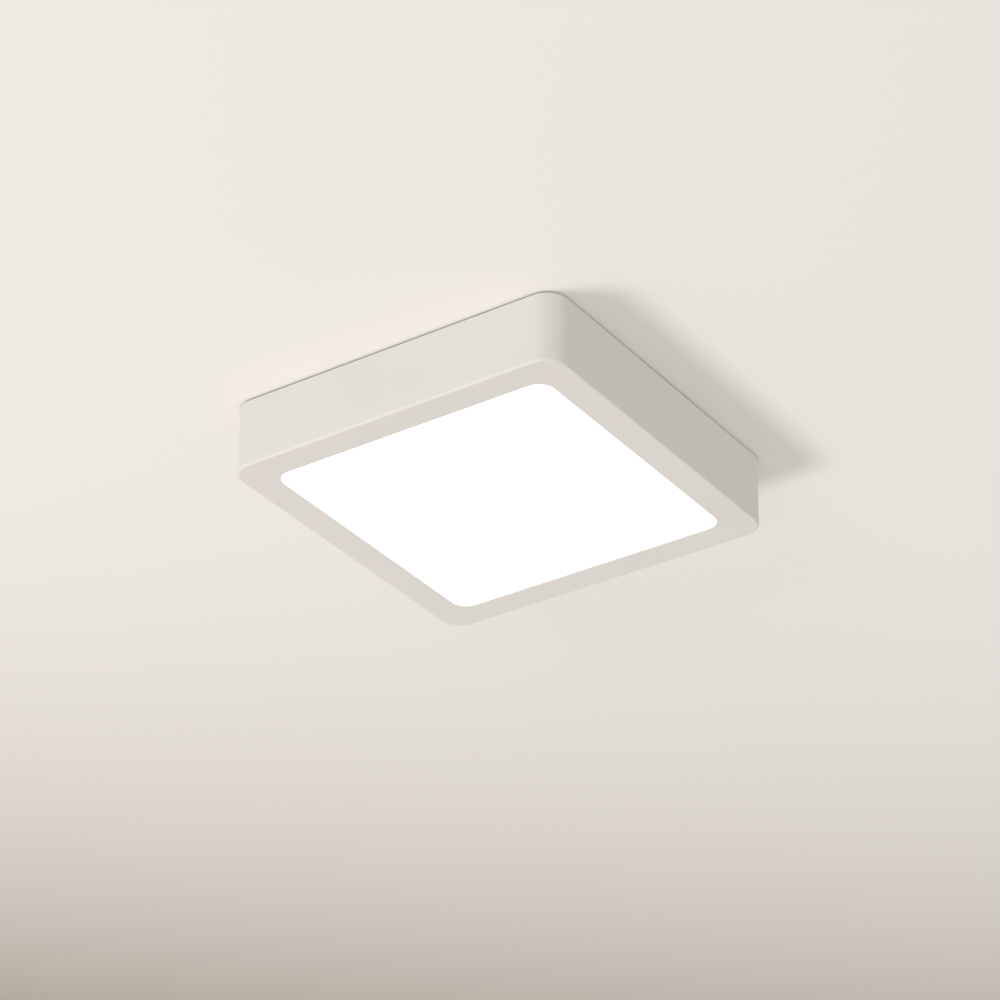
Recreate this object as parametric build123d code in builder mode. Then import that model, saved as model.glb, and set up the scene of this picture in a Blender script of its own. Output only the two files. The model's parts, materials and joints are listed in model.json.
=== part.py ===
from build123d import *
import math
import os

# A square ceiling light with a lit face, held by spring clips on a bracket.
# The origin lies on the ceiling at the middle of the bracket, +Z points up into the
# ceiling and the light hangs below it. All sizes are in millimetres.

os.makedirs("parts", exist_ok=True)

# ---------------------------------------------------------------- driving dimensions

# Housing
body_side = 170.0           # side of the square housing
body_depth = 34.0           # from the ceiling to the lit face
body_corner_r = 10.7        # corners in plan
face_edge_r = 1.2           # rounding between the sides and the face
ceiling_gap = 0.6           # shadow gap between the rim and the ceiling
wall = 1.8                  # side walls
rim_wall = 1.2              # side walls along the rim, above the inner step
rim_step_depth = 3.0        # height of the thinner rim
bezel_width = 14.5          # face from the side to the window
bezel_floor = 2.0           # face thickness between the side wall and the rib
lip = 1.4                   # face thickness round the window
window_corner_r = 7.4
window_edge_bevel = 0.25
ledge_width = 4.7           # from the window to the rib that surrounds the lit stack
rib_t = 1.6                 # thickness of that rib
web_t = 1.4                 # webs between the rib and the side wall
web_pitch = 22.0
web_drop = 1.5              # the webs end this far below the rib's top

# Lit stack, from the room upwards
diffuser_gap = 0.2          # round the diffuser, in the window
diffuser_recess = 0.15      # the diffuser lies this far behind the bezel's face
stack_gap = 0.3             # between the stack and the rib
diffuser_flange = 1.2
guide_t = 3.0
guide_air = 0.5             # from the LEDs to the edge of the light guide
reflector_t = 0.4
foam_t = 2.0
strip_t = 0.3
chip_length = 3.5
chip_height = 2.7
chip_t = 0.7
chip_pitch = 9.4
chips_per_side = 12
tail_length = 5.2
tail_slot = 5.4             # width of the rib's slot for the strip's tails
tail_y = 4 * chip_pitch      # the slot's place along the right side, between two LEDs

# Back plate
plate_t = 1.0
plate_gap = 0.4             # from the plate's edge to the side wall
boss_corner_gap = 30.0      # screw bosses, from the ends of each side
boss_hole_depth = 6.0
boss_merge = 0.2            # bosses and webs reach this far into the walls
press_rib_end_gap = 7.0     # from the ends of the pressed ribs to the screws
press_rib_inset = 2.7       # from the pressed ribs to the housing's rib
press_rib_width = 8.0
press_rib_height = 1.1
lead_grommet_rim = 2.2      # rubber round the LED leads
lead_grommet_lip = 0.9

# Screws
screw_r = 1.5
screw_head_r = 2.8
screw_head_h = 2.0
screw_length = 5.5
hole_clearance = 0.2        # round a screw's shaft in a free hole
thread_clearance = 0.05     # round a screw's shaft in its threaded hole

# Bracket on the ceiling
bracket_t = 1.2
bracket_margin = 20.0       # from the bracket's ends to the side walls
bracket_width = 40.0
bracket_corner_r = 3.0
bend_r = 1.0                # inside radius of the bends
bracket_end_depth = 14.0    # turned-down ends, from the ceiling
bracket_side_depth = 3.6    # turned-down sides, from the ceiling
bracket_side_inset = 15.2   # the turned-down sides end this far from the bracket's ends
slot_spacing = 90.0
slot_width = 4.5
slot_length = 14.0
dish_depth = 2.0            # the middle is pressed down round the cable hole
dish_top_r = 18.0
dish_floor_r = 14.5
dish_skin = 0.6             # the dish's underside is this much wider
cable_hole_r = 9.8
grommet_bore_r = 5.0
grommet_flange_r = 12.0
grommet_flange_t = 1.5
grommet_edge = 0.6

# Spring clips
clip_t = 0.8
clip_width = 14.0
clip_foot_length = 14.0
clip_leg_gap = 1.4          # from the bracket's turned-down end to the clip's leg
clip_nose = 1.6             # the nose passes the outside of the bracket's end by this much
clip_nose_z = -8.3
clip_nose_half = 3.3        # half height of the nose
clip_tip_z = -2.6
clip_tip_flare = 3.2
clip_bend_r = 1.2
window_clearance = 1.0      # on each side of the nose in its window
window_lap = 0.9            # the nose's slopes rest on the window's edges
rivet_pitch = 8.0
rivet_r = 1.5
rivet_head_r = 2.5
rivet_head_h = 1.1
rivet_inset = 8.7           # from the clip's leg to the rivets

# Driver case
driver_length = 92.0
driver_width = 36.0
driver_air = 2.3            # between the case and the bracket above it
driver_front_y = 15.0       # the case begins this far behind the lamp's middle
driver_wall = 1.6
driver_corner_r = 2.5
driver_lid_t = 1.6
lid_bevel = 0.6
driver_lip_depth = 2.0
driver_lip_t = 1.2
driver_fit = 0.15
ear_length = 9.0
ear_width = 12.0
ear_t = 2.4
ear_corner_r = 3.0
lead_hole_width = 9.0
lead_hole_height = 4.0
lead_hole_drop = 8.0        # from the lid's top to the middle of the lead holes
board_t = 1.6
board_gap = 0.8             # round the board, in the case
board_rise = 3.0            # the board stands this far above the case's floor
post_r = 2.2
post_inset_x = 4.0          # from the board's ends to the posts below it
post_inset_y = 3.0

# Terminal block
block_length = 23.0
block_width = 20.0
block_height = 15.5
cable_bend_space = 8.0      # between the terminal block and the cord clamp
block_edge_r = 0.8
pole_pitch = 6.6
pole_cavity = 5.4
pole_floor = 1.6
pole_roof = 3.2
entry_size = 3.2            # square entries for the supply wires
entry_z = 4.6               # middle of the entries above the back plate
outlet_r = 1.3              # round outlets for the lamp's own leads
block_ear = 7.5
block_ear_t = 3.0
block_ear_width = 10.0
contact_t = 0.5
contact_height = 5.6
contact_gap = 0.2           # between a contact and the sides of its hollow
contact_end_gap = 0.3
tongue_setback = 4.4        # from the hollow's end to the tongue that grips the wire
tongue_drop = 1.0
pole_front = 3.0            # block in front of the hollows
pole_rear = 2.0
mouth_bevel = 0.6
button_length = 6.4
button_width = 3.8
button_rise = 2.2
button_travel = 1.6
button_gap = 0.15
button_foot_step = 0.55
button_foot_h = 1.6
button_shank = 3.4          # below the block's roof
button_setback = 2.2        # from the front of the hollow
button_edge_r = 0.5
button_shank_step = 0.7     # the shank is this much narrower on each side

# Strain relief for the supply cable
clamp_front_gap = 21.2      # from the clamp to the front wall
clamp_length = 27.0
clamp_width = 8.0
clamp_height = 8.2
clamp_foot_h = 3.4
clamp_foot_length = 7.0
clamp_arch_r = 3.4
clamp_arch_z = 2.4          # the arch's centre above the back plate

# Parts on the driver board
board_end_gap = 3.0         # from the connectors to the board's ends
tall_air = 1.5              # between the tallest parts and the lid
connector_length = 6.0
connector_width = 10.0
connector_rise = 3.0        # the connectors stand this far above the leads
fuse_r = 2.1
fuse_drop = 1.8             # this and the other drops are from the tallest part
fuse_offset = 8.5           # this and the other offsets are from the middle of the board
varistor_t = 3.4
varistor_drop = 2.2
varistor_offset = 8.0
film_length = 5.5
film_width = 13.0
film_drop = 0.3
film_offset = 2.0
film_edge_r = 0.5
choke_r = 4.0
choke_waist_r = 1.9
choke_flange = 1.4
choke_drop = 0.8
choke_wire_step = 0.5
bridge_length = 8.0
bridge_width = 6.0
bridge_height = 3.0
bridge_offset = 9.5
chip_case_length = 5.0
chip_case_width = 4.0
chip_case_height = 1.6
input_can_length = 16.0
output_can_length = 12.0
output_can_step = 0.9       # the output capacitor is this much thinner in radius
output_can_offset = 3.0
can_bevel = 0.6
core_length = 13.0
core_width = 16.0
core_rise = 1.6
core_drop = 1.4
core_limb = 2.2
core_window = 3.4
coil_drop = 0.2
coil_gap = 0.1
coil_corner_r = 1.6
diode_length = 4.4
diode_width = 2.8
diode_height = 2.2
diode_offset = 10.5

# Leads
mains_lead_r = 0.95
lead_lift = 0.4             # the mains leads lie this far above the back plate
input_pitch = 2.3           # between the mains leads in the driver's connector
lead_reach = 2.0            # the mains leads reach this far into the terminals
lead_straight = 8.0         # straight out of the terminals, for the nearest lead
lead_nest = 1.0             # each further lead turns this much later
lead_cross = 0.8            # where a lead passes over the back plate's middle
live_turn_x = -8.0
live_turn_y = 20.0          # this and the other turns and sides are from the block's back
live_side_x = 15.6          # this and the other side are from the clip's leg
live_side_y = 25.0
live_corner_x = -60.5
live_corner_drop = 3.0      # the corners lie this far below the driver's lead holes
live_entry_x = -57.5
neutral_turn_x = -13.0
neutral_turn_y = 16.6
neutral_side_x = 9.6
neutral_side_y = 22.0
neutral_corner_x = -66.5
neutral_corner_drop = 1.6
neutral_entry_x = -62.0
earth_turn_x = -16.0
earth_turn_y = 14.2
earth_swing = 10.0
earth_straight = 4.5        # the earth lead's straight run in front of its barrel
led_lead_out = 14.0         # straight out of the driver's output
led_lead_inset = 10.0       # the LED leads turn down this far from the channel's middle
led_lead_spread = 0.6
led_lead_arch = 0.8
led_lead_drop_z = 4.5       # above the back plate
tail_rise = 1.0             # the LED leads end this far above the diffuser
led_lead_r = 0.6
led_lead_pitch = 3.6
led_lead_fit = 0.1          # round the LED leads in their grommet

# Protective earth
earth_block_gap = 32.5      # from the earth screw to the end of the terminal block
earth_setback = 2.0         # the earth screw stands this far behind the block's middle
earth_ring_r = 4.0
earth_ring_t = 0.8
earth_barrel_r = 1.7
earth_barrel_length = 6.5
earth_neck = 1.0
crimp_depth = 2.2           # the lead reaches this far into the barrel
crimp_gap = 0.05            # between the lead and the barrel round it
earth_screw_r = 2.0
earth_head_r = 3.6
earth_head_h = 2.4

# ---------------------------------------------------------------- derived heights

face_z = -body_depth
ledge_z = face_z + lip
diffuser_top_z = ledge_z + diffuser_flange
guide_top_z = diffuser_top_z + guide_t
reflector_top_z = guide_top_z + reflector_t
plate_z = reflector_top_z + foam_t          # underside of the back plate and top of the rib
deck_z = plate_z + plate_t                  # top of the back plate
rim_z = -ceiling_gap

window_side = body_side - 2 * bezel_width
rib_inner_side = window_side + 2 * ledge_width
rib_inner_r = window_corner_r + ledge_width
rib_outer_side = rib_inner_side + 2 * rib_t
wall_inner_side = body_side - 2 * wall
wall_inner_r = body_corner_r - wall
channel_mid = (rib_outer_side + wall_inner_side) / 4
channel_width = (wall_inner_side - rib_outer_side) / 2

boss_offset = body_side / 2 - boss_corner_gap
bracket_length = wall_inner_side - 2 * bracket_margin
bracket_side_length = bracket_length - 2 * bracket_side_inset
driver_height = -bracket_side_depth - driver_air - deck_z
driver_y = driver_front_y + driver_width / 2
clamp_y = clamp_front_gap + clamp_width / 2 - wall_inner_side / 2
block_y = clamp_y + clamp_width / 2 + cable_bend_space + block_width / 2
earth_x = -block_length / 2 - earth_block_gap
earth_y = block_y + earth_setback
press_rib_length = 2 * (boss_offset - press_rib_end_gap)
press_rib_y = rib_inner_side / 2 - press_rib_inset - press_rib_width / 2

side_turns = (0, 90, 180, 270)


def save(part, name):
    """Label the finished piece and write its STEP file."""
    part.label = name
    export_step(part, f"parts/{name}.step")


def square_prism(side, corner_r, bottom_z, top_z, mode=Mode.ADD):
    """Add or cut an upright square prism with rounded corners, centred on the Z axis."""
    with BuildSketch(Plane.XY.offset(bottom_z)) as outline:
        RectangleRounded(side, side, corner_r)
    extrude(outline.sketch, amount=top_z - bottom_z, mode=mode)


def block(x, y, size_x, size_y, bottom_z, top_z, mode=Mode.ADD):
    """Add or cut an upright block whose middle stands at x, y."""
    with BuildSketch(Plane.XY.offset(bottom_z)) as outline:
        with Locations((x, y)):
            Rectangle(size_x, size_y)
    extrude(outline.sketch, amount=top_z - bottom_z, mode=mode)


def rods(places, radius, bottom_z, top_z, mode=Mode.ADD):
    """Add or cut upright round rods at each of the places."""
    with BuildSketch(Plane.XY.offset(bottom_z)) as outline:
        with Locations(*places):
            Circle(radius)
    extrude(outline.sketch, amount=top_z - bottom_z, mode=mode)


def screws(places, seat_z, shaft_r, head_r, head_h, length):
    """Return a group of screws whose heads sit on seat_z and whose shafts point down."""
    with BuildPart() as group:
        rods(places, shaft_r, seat_z - length, seat_z)
        rods(places, head_r, seat_z, seat_z + head_h)
    return group.part


def bend_radii(points):
    """Return one bend radius for each inner point, as large as its two runs allow."""
    radii = []
    for before, here, after in zip(points, points[1:], points[2:]):
        run_in = Vector(*here) - Vector(*before)
        run_out = Vector(*after) - Vector(*here)
        half_turn = math.radians(run_in.get_angle(run_out)) / 2
        radii.append(0.45 * min(run_in.length, run_out.length) / math.tan(half_turn))
    return radii


def lead(name, points, radius):
    """Return a round lead along the points, with a tangent arc at each of them."""
    radii = bend_radii(points)
    with BuildPart() as wire:
        with BuildLine() as route:
            FilletPolyline(*points, radius=radii)
        path = route.wire()
        with BuildSketch(Plane(path @ 0, z_dir=path % 0)) as section:
            Circle(radius)
        sweep(section.sketch, path=path)
    share = wire.part.volume / (math.pi * radius**2 * path.length)
    bends = ", ".join(f"{bend:.1f}" for bend in radii)
    print(f"{name}: length {path.length:.1f}, bends {bends}, volume share {share:.4f}")
    return wire.part


# ---------------------------------------------------------------- housing

boss_places = [
    (side_x * along, side_y * across)
    for along, across in ((boss_offset, channel_mid), (channel_mid, boss_offset))
    for side_x in (-1, 1)
    for side_y in (-1, 1)
]
boss_r = channel_width / 2 + boss_merge
boss_hole_r = screw_r + thread_clearance

with BuildPart() as housing:
    square_prism(body_side, body_corner_r, face_z, rim_z)
    fillet(housing.faces().sort_by(Axis.Z)[0].edges(), face_edge_r)
    # The inside is open to the ceiling, with a thinner wall along the rim
    square_prism(wall_inner_side, wall_inner_r, face_z + bezel_floor, rim_z, Mode.SUBTRACT)
    square_prism(
        body_side - 2 * rim_wall,
        body_corner_r - rim_wall,
        rim_z - rim_step_depth,
        rim_z,
        Mode.SUBTRACT,
    )
    # Rib round the lit stack, with its channel of webs and bosses outside
    square_prism(rib_outer_side, rib_inner_r + rib_t, face_z + bezel_floor, plate_z)
    for turn in side_turns:
        with BuildSketch(Plane.XY.offset(face_z + bezel_floor)) as webs:
            with Locations(Rotation(0, 0, turn)):
                with Locations((channel_mid, 0)):
                    with GridLocations(0, web_pitch, 1, 3):
                        Rectangle(channel_width + 2 * boss_merge, web_t)
        extrude(webs.sketch, amount=plate_z - web_drop - face_z - bezel_floor)
    rods(boss_places, boss_r, face_z + bezel_floor, plate_z)
    square_prism(rib_inner_side, rib_inner_r, ledge_z, plate_z, Mode.SUBTRACT)
    rods(boss_places, boss_hole_r, plate_z - boss_hole_depth, plate_z, Mode.SUBTRACT)
    # Slot in the rib for the tails of the LED strip
    block(
        rib_inner_side / 2 + rib_t / 2,
        tail_y,
        rib_t + 2 * boss_merge,
        tail_slot,
        diffuser_top_z,
        plate_z,
        Mode.SUBTRACT,
    )
    # Window
    square_prism(window_side, window_corner_r, face_z, ledge_z, Mode.SUBTRACT)
    window_edges = housing.faces().sort_by(Axis.Z)[0].inner_wires()[0].edges()
    chamfer(window_edges, window_edge_bevel)
save(housing.part, "housing")

# ---------------------------------------------------------------- lit stack

with BuildPart() as diffuser:
    square_prism(
        window_side - 2 * diffuser_gap,
        window_corner_r - diffuser_gap,
        face_z + diffuser_recess,
        ledge_z,
    )
    square_prism(
        rib_inner_side - 2 * stack_gap, rib_inner_r - stack_gap, ledge_z, diffuser_top_z
    )
save(diffuser.part, "diffuser")

guide_inset = strip_t + chip_t + guide_air
with BuildPart() as light_guide:
    square_prism(
        rib_inner_side - 2 * guide_inset,
        rib_inner_r - guide_inset,
        diffuser_top_z,
        guide_top_z,
    )
save(light_guide.part, "light_guide")

# The strip follows the rib and turns out through the slot with a tail at each end
tail_half = tail_slot / 2
with BuildPart() as led_strip:
    square_prism(rib_inner_side, rib_inner_r, diffuser_top_z, guide_top_z)
    square_prism(
        rib_inner_side - 2 * strip_t,
        rib_inner_r - strip_t,
        diffuser_top_z,
        guide_top_z,
        Mode.SUBTRACT,
    )
    block(
        rib_inner_side / 2 - strip_t / 2,
        tail_y,
        strip_t,
        tail_slot,
        diffuser_top_z,
        guide_top_z,
        Mode.SUBTRACT,
    )
    for end in (-1, 1):
        block(
            rib_inner_side / 2 - strip_t + tail_length / 2,
            tail_y + end * (tail_half - strip_t / 2),
            tail_length,
            strip_t,
            diffuser_top_z,
            guide_top_z,
        )
save(led_strip.part, "led_strip")

chip_z = diffuser_top_z + (guide_t - chip_height) / 2
chip_x = rib_inner_side / 2 - strip_t - chip_t / 2
with BuildPart() as led_chips:
    for turn in side_turns:
        with BuildSketch(Plane.XY.offset(chip_z)) as row:
            with Locations(Rotation(0, 0, turn)):
                with Locations((chip_x, 0)):
                    with GridLocations(0, chip_pitch, 1, chips_per_side):
                        Rectangle(chip_t, chip_length)
        extrude(row.sketch, amount=chip_height)
save(led_chips.part, "led_chips")

with BuildPart() as reflector_sheet:
    square_prism(
        rib_inner_side - 2 * guide_inset,
        rib_inner_r - guide_inset,
        guide_top_z,
        reflector_top_z,
    )
save(reflector_sheet.part, "reflector_sheet")

with BuildPart() as foam_pad:
    square_prism(
        rib_inner_side - 2 * guide_inset, rib_inner_r - guide_inset, reflector_top_z, plate_z
    )
save(foam_pad.part, "foam_pad")

# ---------------------------------------------------------------- back plate

ear_x = driver_length / 2 + ear_length / 2
driver_screw_places = [(-ear_x, driver_y), (ear_x, driver_y)]
block_ear_x = block_length / 2 + block_ear / 2
block_screw_places = [(-block_ear_x, block_y), (block_ear_x, block_y)]
clamp_screw_x = clamp_length / 2 - clamp_foot_length / 2
clamp_screw_places = [(-clamp_screw_x, clamp_y), (clamp_screw_x, clamp_y)]
plate_screw_places = driver_screw_places + block_screw_places + clamp_screw_places

bracket_end_x = bracket_length / 2
clip_leg_x = bracket_end_x + clip_leg_gap
rivet_x = clip_leg_x + rivet_inset
rivet_places = [
    (side * rivet_x, end * rivet_pitch / 2) for side in (-1, 1) for end in (-1, 1)
]
grommet_length = led_lead_pitch + 2 * lead_grommet_rim
grommet_width = 2 * lead_grommet_rim

with BuildPart() as back_plate:
    square_prism(
        wall_inner_side - 2 * plate_gap, wall_inner_r - plate_gap, plate_z, deck_z
    )
    # Ribs pressed upwards, hollow below
    for side in (-1, 1):
        with BuildSketch(Plane.XY.offset(plate_z)) as rib_outside:
            with Locations((0, side * press_rib_y)):
                SlotOverall(press_rib_length, press_rib_width)
        extrude(rib_outside.sketch, amount=plate_t + press_rib_height)
        with BuildSketch(Plane.XY.offset(plate_z)) as rib_inside:
            with Locations((0, side * press_rib_y)):
                SlotOverall(press_rib_length - 2 * plate_t, press_rib_width - 2 * plate_t)
        extrude(rib_inside.sketch, amount=press_rib_height, mode=Mode.SUBTRACT)
    rods(boss_places, screw_r + hole_clearance, plate_z, deck_z, Mode.SUBTRACT)
    rods(plate_screw_places, screw_r + thread_clearance, plate_z, deck_z, Mode.SUBTRACT)
    rods(rivet_places, rivet_r, plate_z, deck_z, Mode.SUBTRACT)
    rods([(earth_x, earth_y)], earth_screw_r + thread_clearance, plate_z, deck_z, Mode.SUBTRACT)
    with BuildSketch(Plane.XY.offset(plate_z)) as lead_slot:
        with Locations((channel_mid, tail_y)):
            SlotOverall(grommet_length, grommet_width, rotation=90)
    extrude(lead_slot.sketch, amount=plate_t, mode=Mode.SUBTRACT)
save(back_plate.part, "back_plate")

save(
    screws(boss_places, deck_z, screw_r, screw_head_r, screw_head_h, screw_length),
    "back_plate_screws",
)

with BuildPart() as lead_grommet:
    for bottom, top, grow in (
        (plate_z - lead_grommet_lip, plate_z, lead_grommet_lip),
        (plate_z, deck_z, 0),
        (deck_z, deck_z + lead_grommet_lip, lead_grommet_lip),
    ):
        with BuildSketch(Plane.XY.offset(bottom)) as ring:
            with Locations((channel_mid, tail_y)):
                SlotOverall(grommet_length + 2 * grow, grommet_width + 2 * grow, rotation=90)
        extrude(ring.sketch, amount=top - bottom)
    rods(
        [(channel_mid, tail_y - led_lead_pitch / 2), (channel_mid, tail_y + led_lead_pitch / 2)],
        led_lead_r + led_lead_fit,
        plate_z - lead_grommet_lip,
        deck_z + lead_grommet_lip,
        Mode.SUBTRACT,
    )
save(lead_grommet.part, "lead_grommet")

# ---------------------------------------------------------------- driver case

case_top_z = deck_z + driver_height - driver_lid_t
lead_hole_z = deck_z + driver_height - lead_hole_drop
half_length = driver_length / 2
cavity_length = driver_length - 2 * driver_wall
cavity_width = driver_width - 2 * driver_wall
cavity_r = driver_corner_r - driver_wall
board_length = cavity_length - 2 * board_gap
board_width = cavity_width - 2 * board_gap
board_z = deck_z + driver_wall + board_rise
board_top_z = board_z + board_t
post_places = [
    (side * (board_length / 2 - post_inset_x), driver_y + end * (board_width / 2 - post_inset_y))
    for side in (-1, 1)
    for end in (-1, 1)
]

with BuildPart() as driver_case:
    with BuildSketch(Plane.XY.offset(deck_z)) as case_outline:
        with Locations((0, driver_y)):
            RectangleRounded(driver_length, driver_width, driver_corner_r)
    extrude(case_outline.sketch, amount=case_top_z - deck_z)
    with BuildSketch(Plane.XY.offset(deck_z)) as ears:
        with Locations((0, driver_y)):
            RectangleRounded(driver_length + 2 * ear_length, ear_width, ear_corner_r)
    extrude(ears.sketch, amount=ear_t)
    with BuildSketch(Plane.XY.offset(deck_z + driver_wall)) as case_inside:
        with Locations((0, driver_y)):
            RectangleRounded(cavity_length, cavity_width, cavity_r)
    extrude(case_inside.sketch, amount=driver_height, mode=Mode.SUBTRACT)
    rods(post_places, post_r, deck_z + driver_wall, board_z)
    rods(driver_screw_places, screw_r + hole_clearance, deck_z, deck_z + ear_t, Mode.SUBTRACT)
    # One lead hole in each end
    with BuildSketch(Plane.YZ.offset(-half_length)) as lead_holes:
        with Locations((driver_y, lead_hole_z)):
            SlotOverall(lead_hole_width, lead_hole_height)
    extrude(lead_holes.sketch, amount=driver_length, mode=Mode.SUBTRACT)
save(driver_case.part, "driver_case")

with BuildPart() as driver_lid:
    with BuildSketch(Plane.XY.offset(case_top_z)) as lid_outline:
        with Locations((0, driver_y)):
            RectangleRounded(driver_length, driver_width, driver_corner_r)
    extrude(lid_outline.sketch, amount=driver_lid_t)
    chamfer(driver_lid.faces().sort_by(Axis.Z)[-1].edges(), lid_bevel)
    # Lip that drops into the case
    with BuildSketch(Plane.XY.offset(case_top_z - driver_lip_depth)) as lid_lip:
        with Locations((0, driver_y)):
            RectangleRounded(
                cavity_length - 2 * driver_fit, cavity_width - 2 * driver_fit, cavity_r - driver_fit
            )
            Rectangle(
                cavity_length - 2 * driver_fit - 2 * driver_lip_t,
                cavity_width - 2 * driver_fit - 2 * driver_lip_t,
                mode=Mode.SUBTRACT,
            )
    extrude(lid_lip.sketch, amount=driver_lip_depth)
save(driver_lid.part, "driver_lid")

save(
    screws(
        driver_screw_places,
        deck_z + ear_t,
        screw_r,
        screw_head_r,
        screw_head_h,
        ear_t + plate_t,
    ),
    "driver_screws",
)

# ---------------------------------------------------------------- driver board and its parts

with BuildPart() as driver_board:
    block(0, driver_y, board_length, board_width, board_z, board_top_z)
save(driver_board.part, "driver_board")


def upright_block(name, x, y, size_x, size_y, height, edge_r=0.0):
    """Model a box-shaped component that stands on the board."""
    with BuildPart() as component:
        block(x, y, size_x, size_y, board_top_z, board_top_z + height)
        if edge_r > 0:
            fillet(component.edges().filter_by(Axis.Z), edge_r)
    save(component.part, name)


def upright_can(name, x, y, radius, height):
    """Model a round component that stands on the board, with a rolled top edge."""
    with BuildPart() as component:
        rods([(x, y)], radius, board_top_z, board_top_z + height)
        chamfer(component.faces().sort_by(Axis.Z)[-1].edges(), can_bevel)
    save(component.part, name)


def lying_can(name, x, y, radius, length):
    """Model a round component that lies on the board along Y, with rolled ends."""
    with BuildPart() as component:
        with BuildSketch(Plane.XZ.offset(-y - length / 2)) as can_end:
            with Locations((x, board_top_z + radius)):
                Circle(radius)
        extrude(can_end.sketch, amount=length)
        ends = component.faces().filter_by(Axis.Y)
        chamfer(ends.edges(), can_bevel)
    save(component.part, name)


# The main parts stand in a row from the input end to the output end, evenly spaced
tall_height = case_top_z - board_top_z - tall_air
input_can_r = tall_height / 2
output_can_r = input_can_r - output_can_step
row_lengths = (
    connector_length,
    varistor_t,
    film_length,
    2 * choke_r,
    2 * input_can_r,
    core_length,
    2 * output_can_r,
    connector_length,
)
row_start = board_end_gap - board_length / 2
row_gap = (-2 * row_start - sum(row_lengths)) / (len(row_lengths) - 1)
row_x = [
    row_start + sum(row_lengths[:place]) + place * row_gap + length / 2
    for place, length in enumerate(row_lengths)
]
connector_x, varistor_x, film_x, choke_x, input_can_x, core_x, output_can_x = (-row_x[0], *row_x[1:7])
connector_height = lead_hole_z - board_top_z + connector_rise
for name, x in (("input_connector", -connector_x), ("output_connector", connector_x)):
    upright_block(name, x, driver_y, connector_length, connector_width, connector_height)
upright_can("input_fuse", varistor_x, driver_y + fuse_offset, fuse_r, tall_height - fuse_drop)
upright_block(
    "film_capacitor",
    film_x,
    driver_y - film_offset,
    film_length,
    film_width,
    tall_height - film_drop,
    film_edge_r,
)
upright_block(
    "bridge_rectifier", choke_x, driver_y + bridge_offset, bridge_length, bridge_width, bridge_height
)
upright_block(
    "driver_chip",
    choke_x,
    driver_y - bridge_offset,
    chip_case_length,
    chip_case_width,
    chip_case_height,
)
upright_block(
    "output_diode", output_can_x, driver_y + diode_offset, diode_length, diode_width, diode_height
)
lying_can("input_capacitor", input_can_x, driver_y, input_can_r, input_can_length)
lying_can(
    "output_capacitor", output_can_x, driver_y - output_can_offset, output_can_r, output_can_length
)

varistor_r = (tall_height - varistor_drop) / 2
with BuildPart() as varistor:
    with BuildSketch(Plane.YZ.offset(varistor_x - varistor_t / 2)) as disc:
        with Locations((driver_y - varistor_offset, board_top_z + varistor_r)):
            Circle(varistor_r)
    extrude(disc.sketch, amount=varistor_t)
    chamfer(varistor.faces().filter_by(Axis.X).edges(), varistor_t / 4)
save(varistor.part, "varistor")

# Bobbin-shaped choke: two flanges on a waist, with the winding between them
choke_height = tall_height - choke_drop
choke_place = [(choke_x, driver_y)]
with BuildPart() as choke_core:
    rods(choke_place, choke_r, board_top_z, board_top_z + choke_flange)
    rods(choke_place, choke_waist_r, board_top_z, board_top_z + choke_height)
    rods(
        choke_place,
        choke_r,
        board_top_z + choke_height - choke_flange,
        board_top_z + choke_height,
    )
save(choke_core.part, "choke_core")

with BuildPart() as choke_coil:
    wire_bottom_z = board_top_z + choke_flange
    wire_top_z = board_top_z + choke_height - choke_flange
    rods(choke_place, choke_r - choke_wire_step, wire_bottom_z, wire_top_z)
    rods(choke_place, choke_waist_r, wire_bottom_z, wire_top_z, Mode.SUBTRACT)
save(choke_coil.part, "choke_coil")

# Transformer: an E-shaped core on its side round a wound bobbin
core_bottom_z = board_top_z + core_rise
core_top_z = board_top_z + tall_height - core_drop
coil_top_z = board_top_z + tall_height - coil_drop
centre_limb = core_width - 2 * core_limb - 2 * core_window
with BuildPart() as transformer_core:
    block(core_x, driver_y, core_length, core_width, core_bottom_z, core_top_z)
    for side in (-1, 1):
        block(
            core_x,
            driver_y + side * (centre_limb / 2 + core_window / 2),
            core_length - 2 * core_limb,
            core_window,
            core_bottom_z,
            core_top_z,
            Mode.SUBTRACT,
        )
save(transformer_core.part, "transformer_core")

with BuildPart() as transformer_coil:
    block(
        core_x,
        driver_y,
        core_length - 2 * core_limb - 2 * coil_gap,
        core_width - 2 * core_limb - 2 * coil_gap,
        board_top_z,
        coil_top_z,
    )
    fillet(transformer_coil.edges().filter_by(Axis.Z), coil_corner_r)
    block(
        core_x, driver_y, core_length, centre_limb, core_bottom_z, core_top_z, Mode.SUBTRACT
    )
save(transformer_coil.part, "transformer_coil")

# ---------------------------------------------------------------- terminal block

pole_x = [-pole_pitch, 0.0, pole_pitch]
block_top_z = deck_z + block_height
block_front_y = block_y - block_width / 2
block_back_y = block_y + block_width / 2
cavity_front_y = block_front_y + pole_front
cavity_back_y = block_back_y - pole_rear
pole_depth = cavity_back_y - cavity_front_y
pole_mid_y = (cavity_front_y + cavity_back_y) / 2
button_y = cavity_front_y + button_length / 2 + button_setback
roof_z = block_top_z - pole_roof
button_foot_length = button_length + 2 * button_foot_step
button_foot_width = button_width + 2 * button_foot_step

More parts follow.
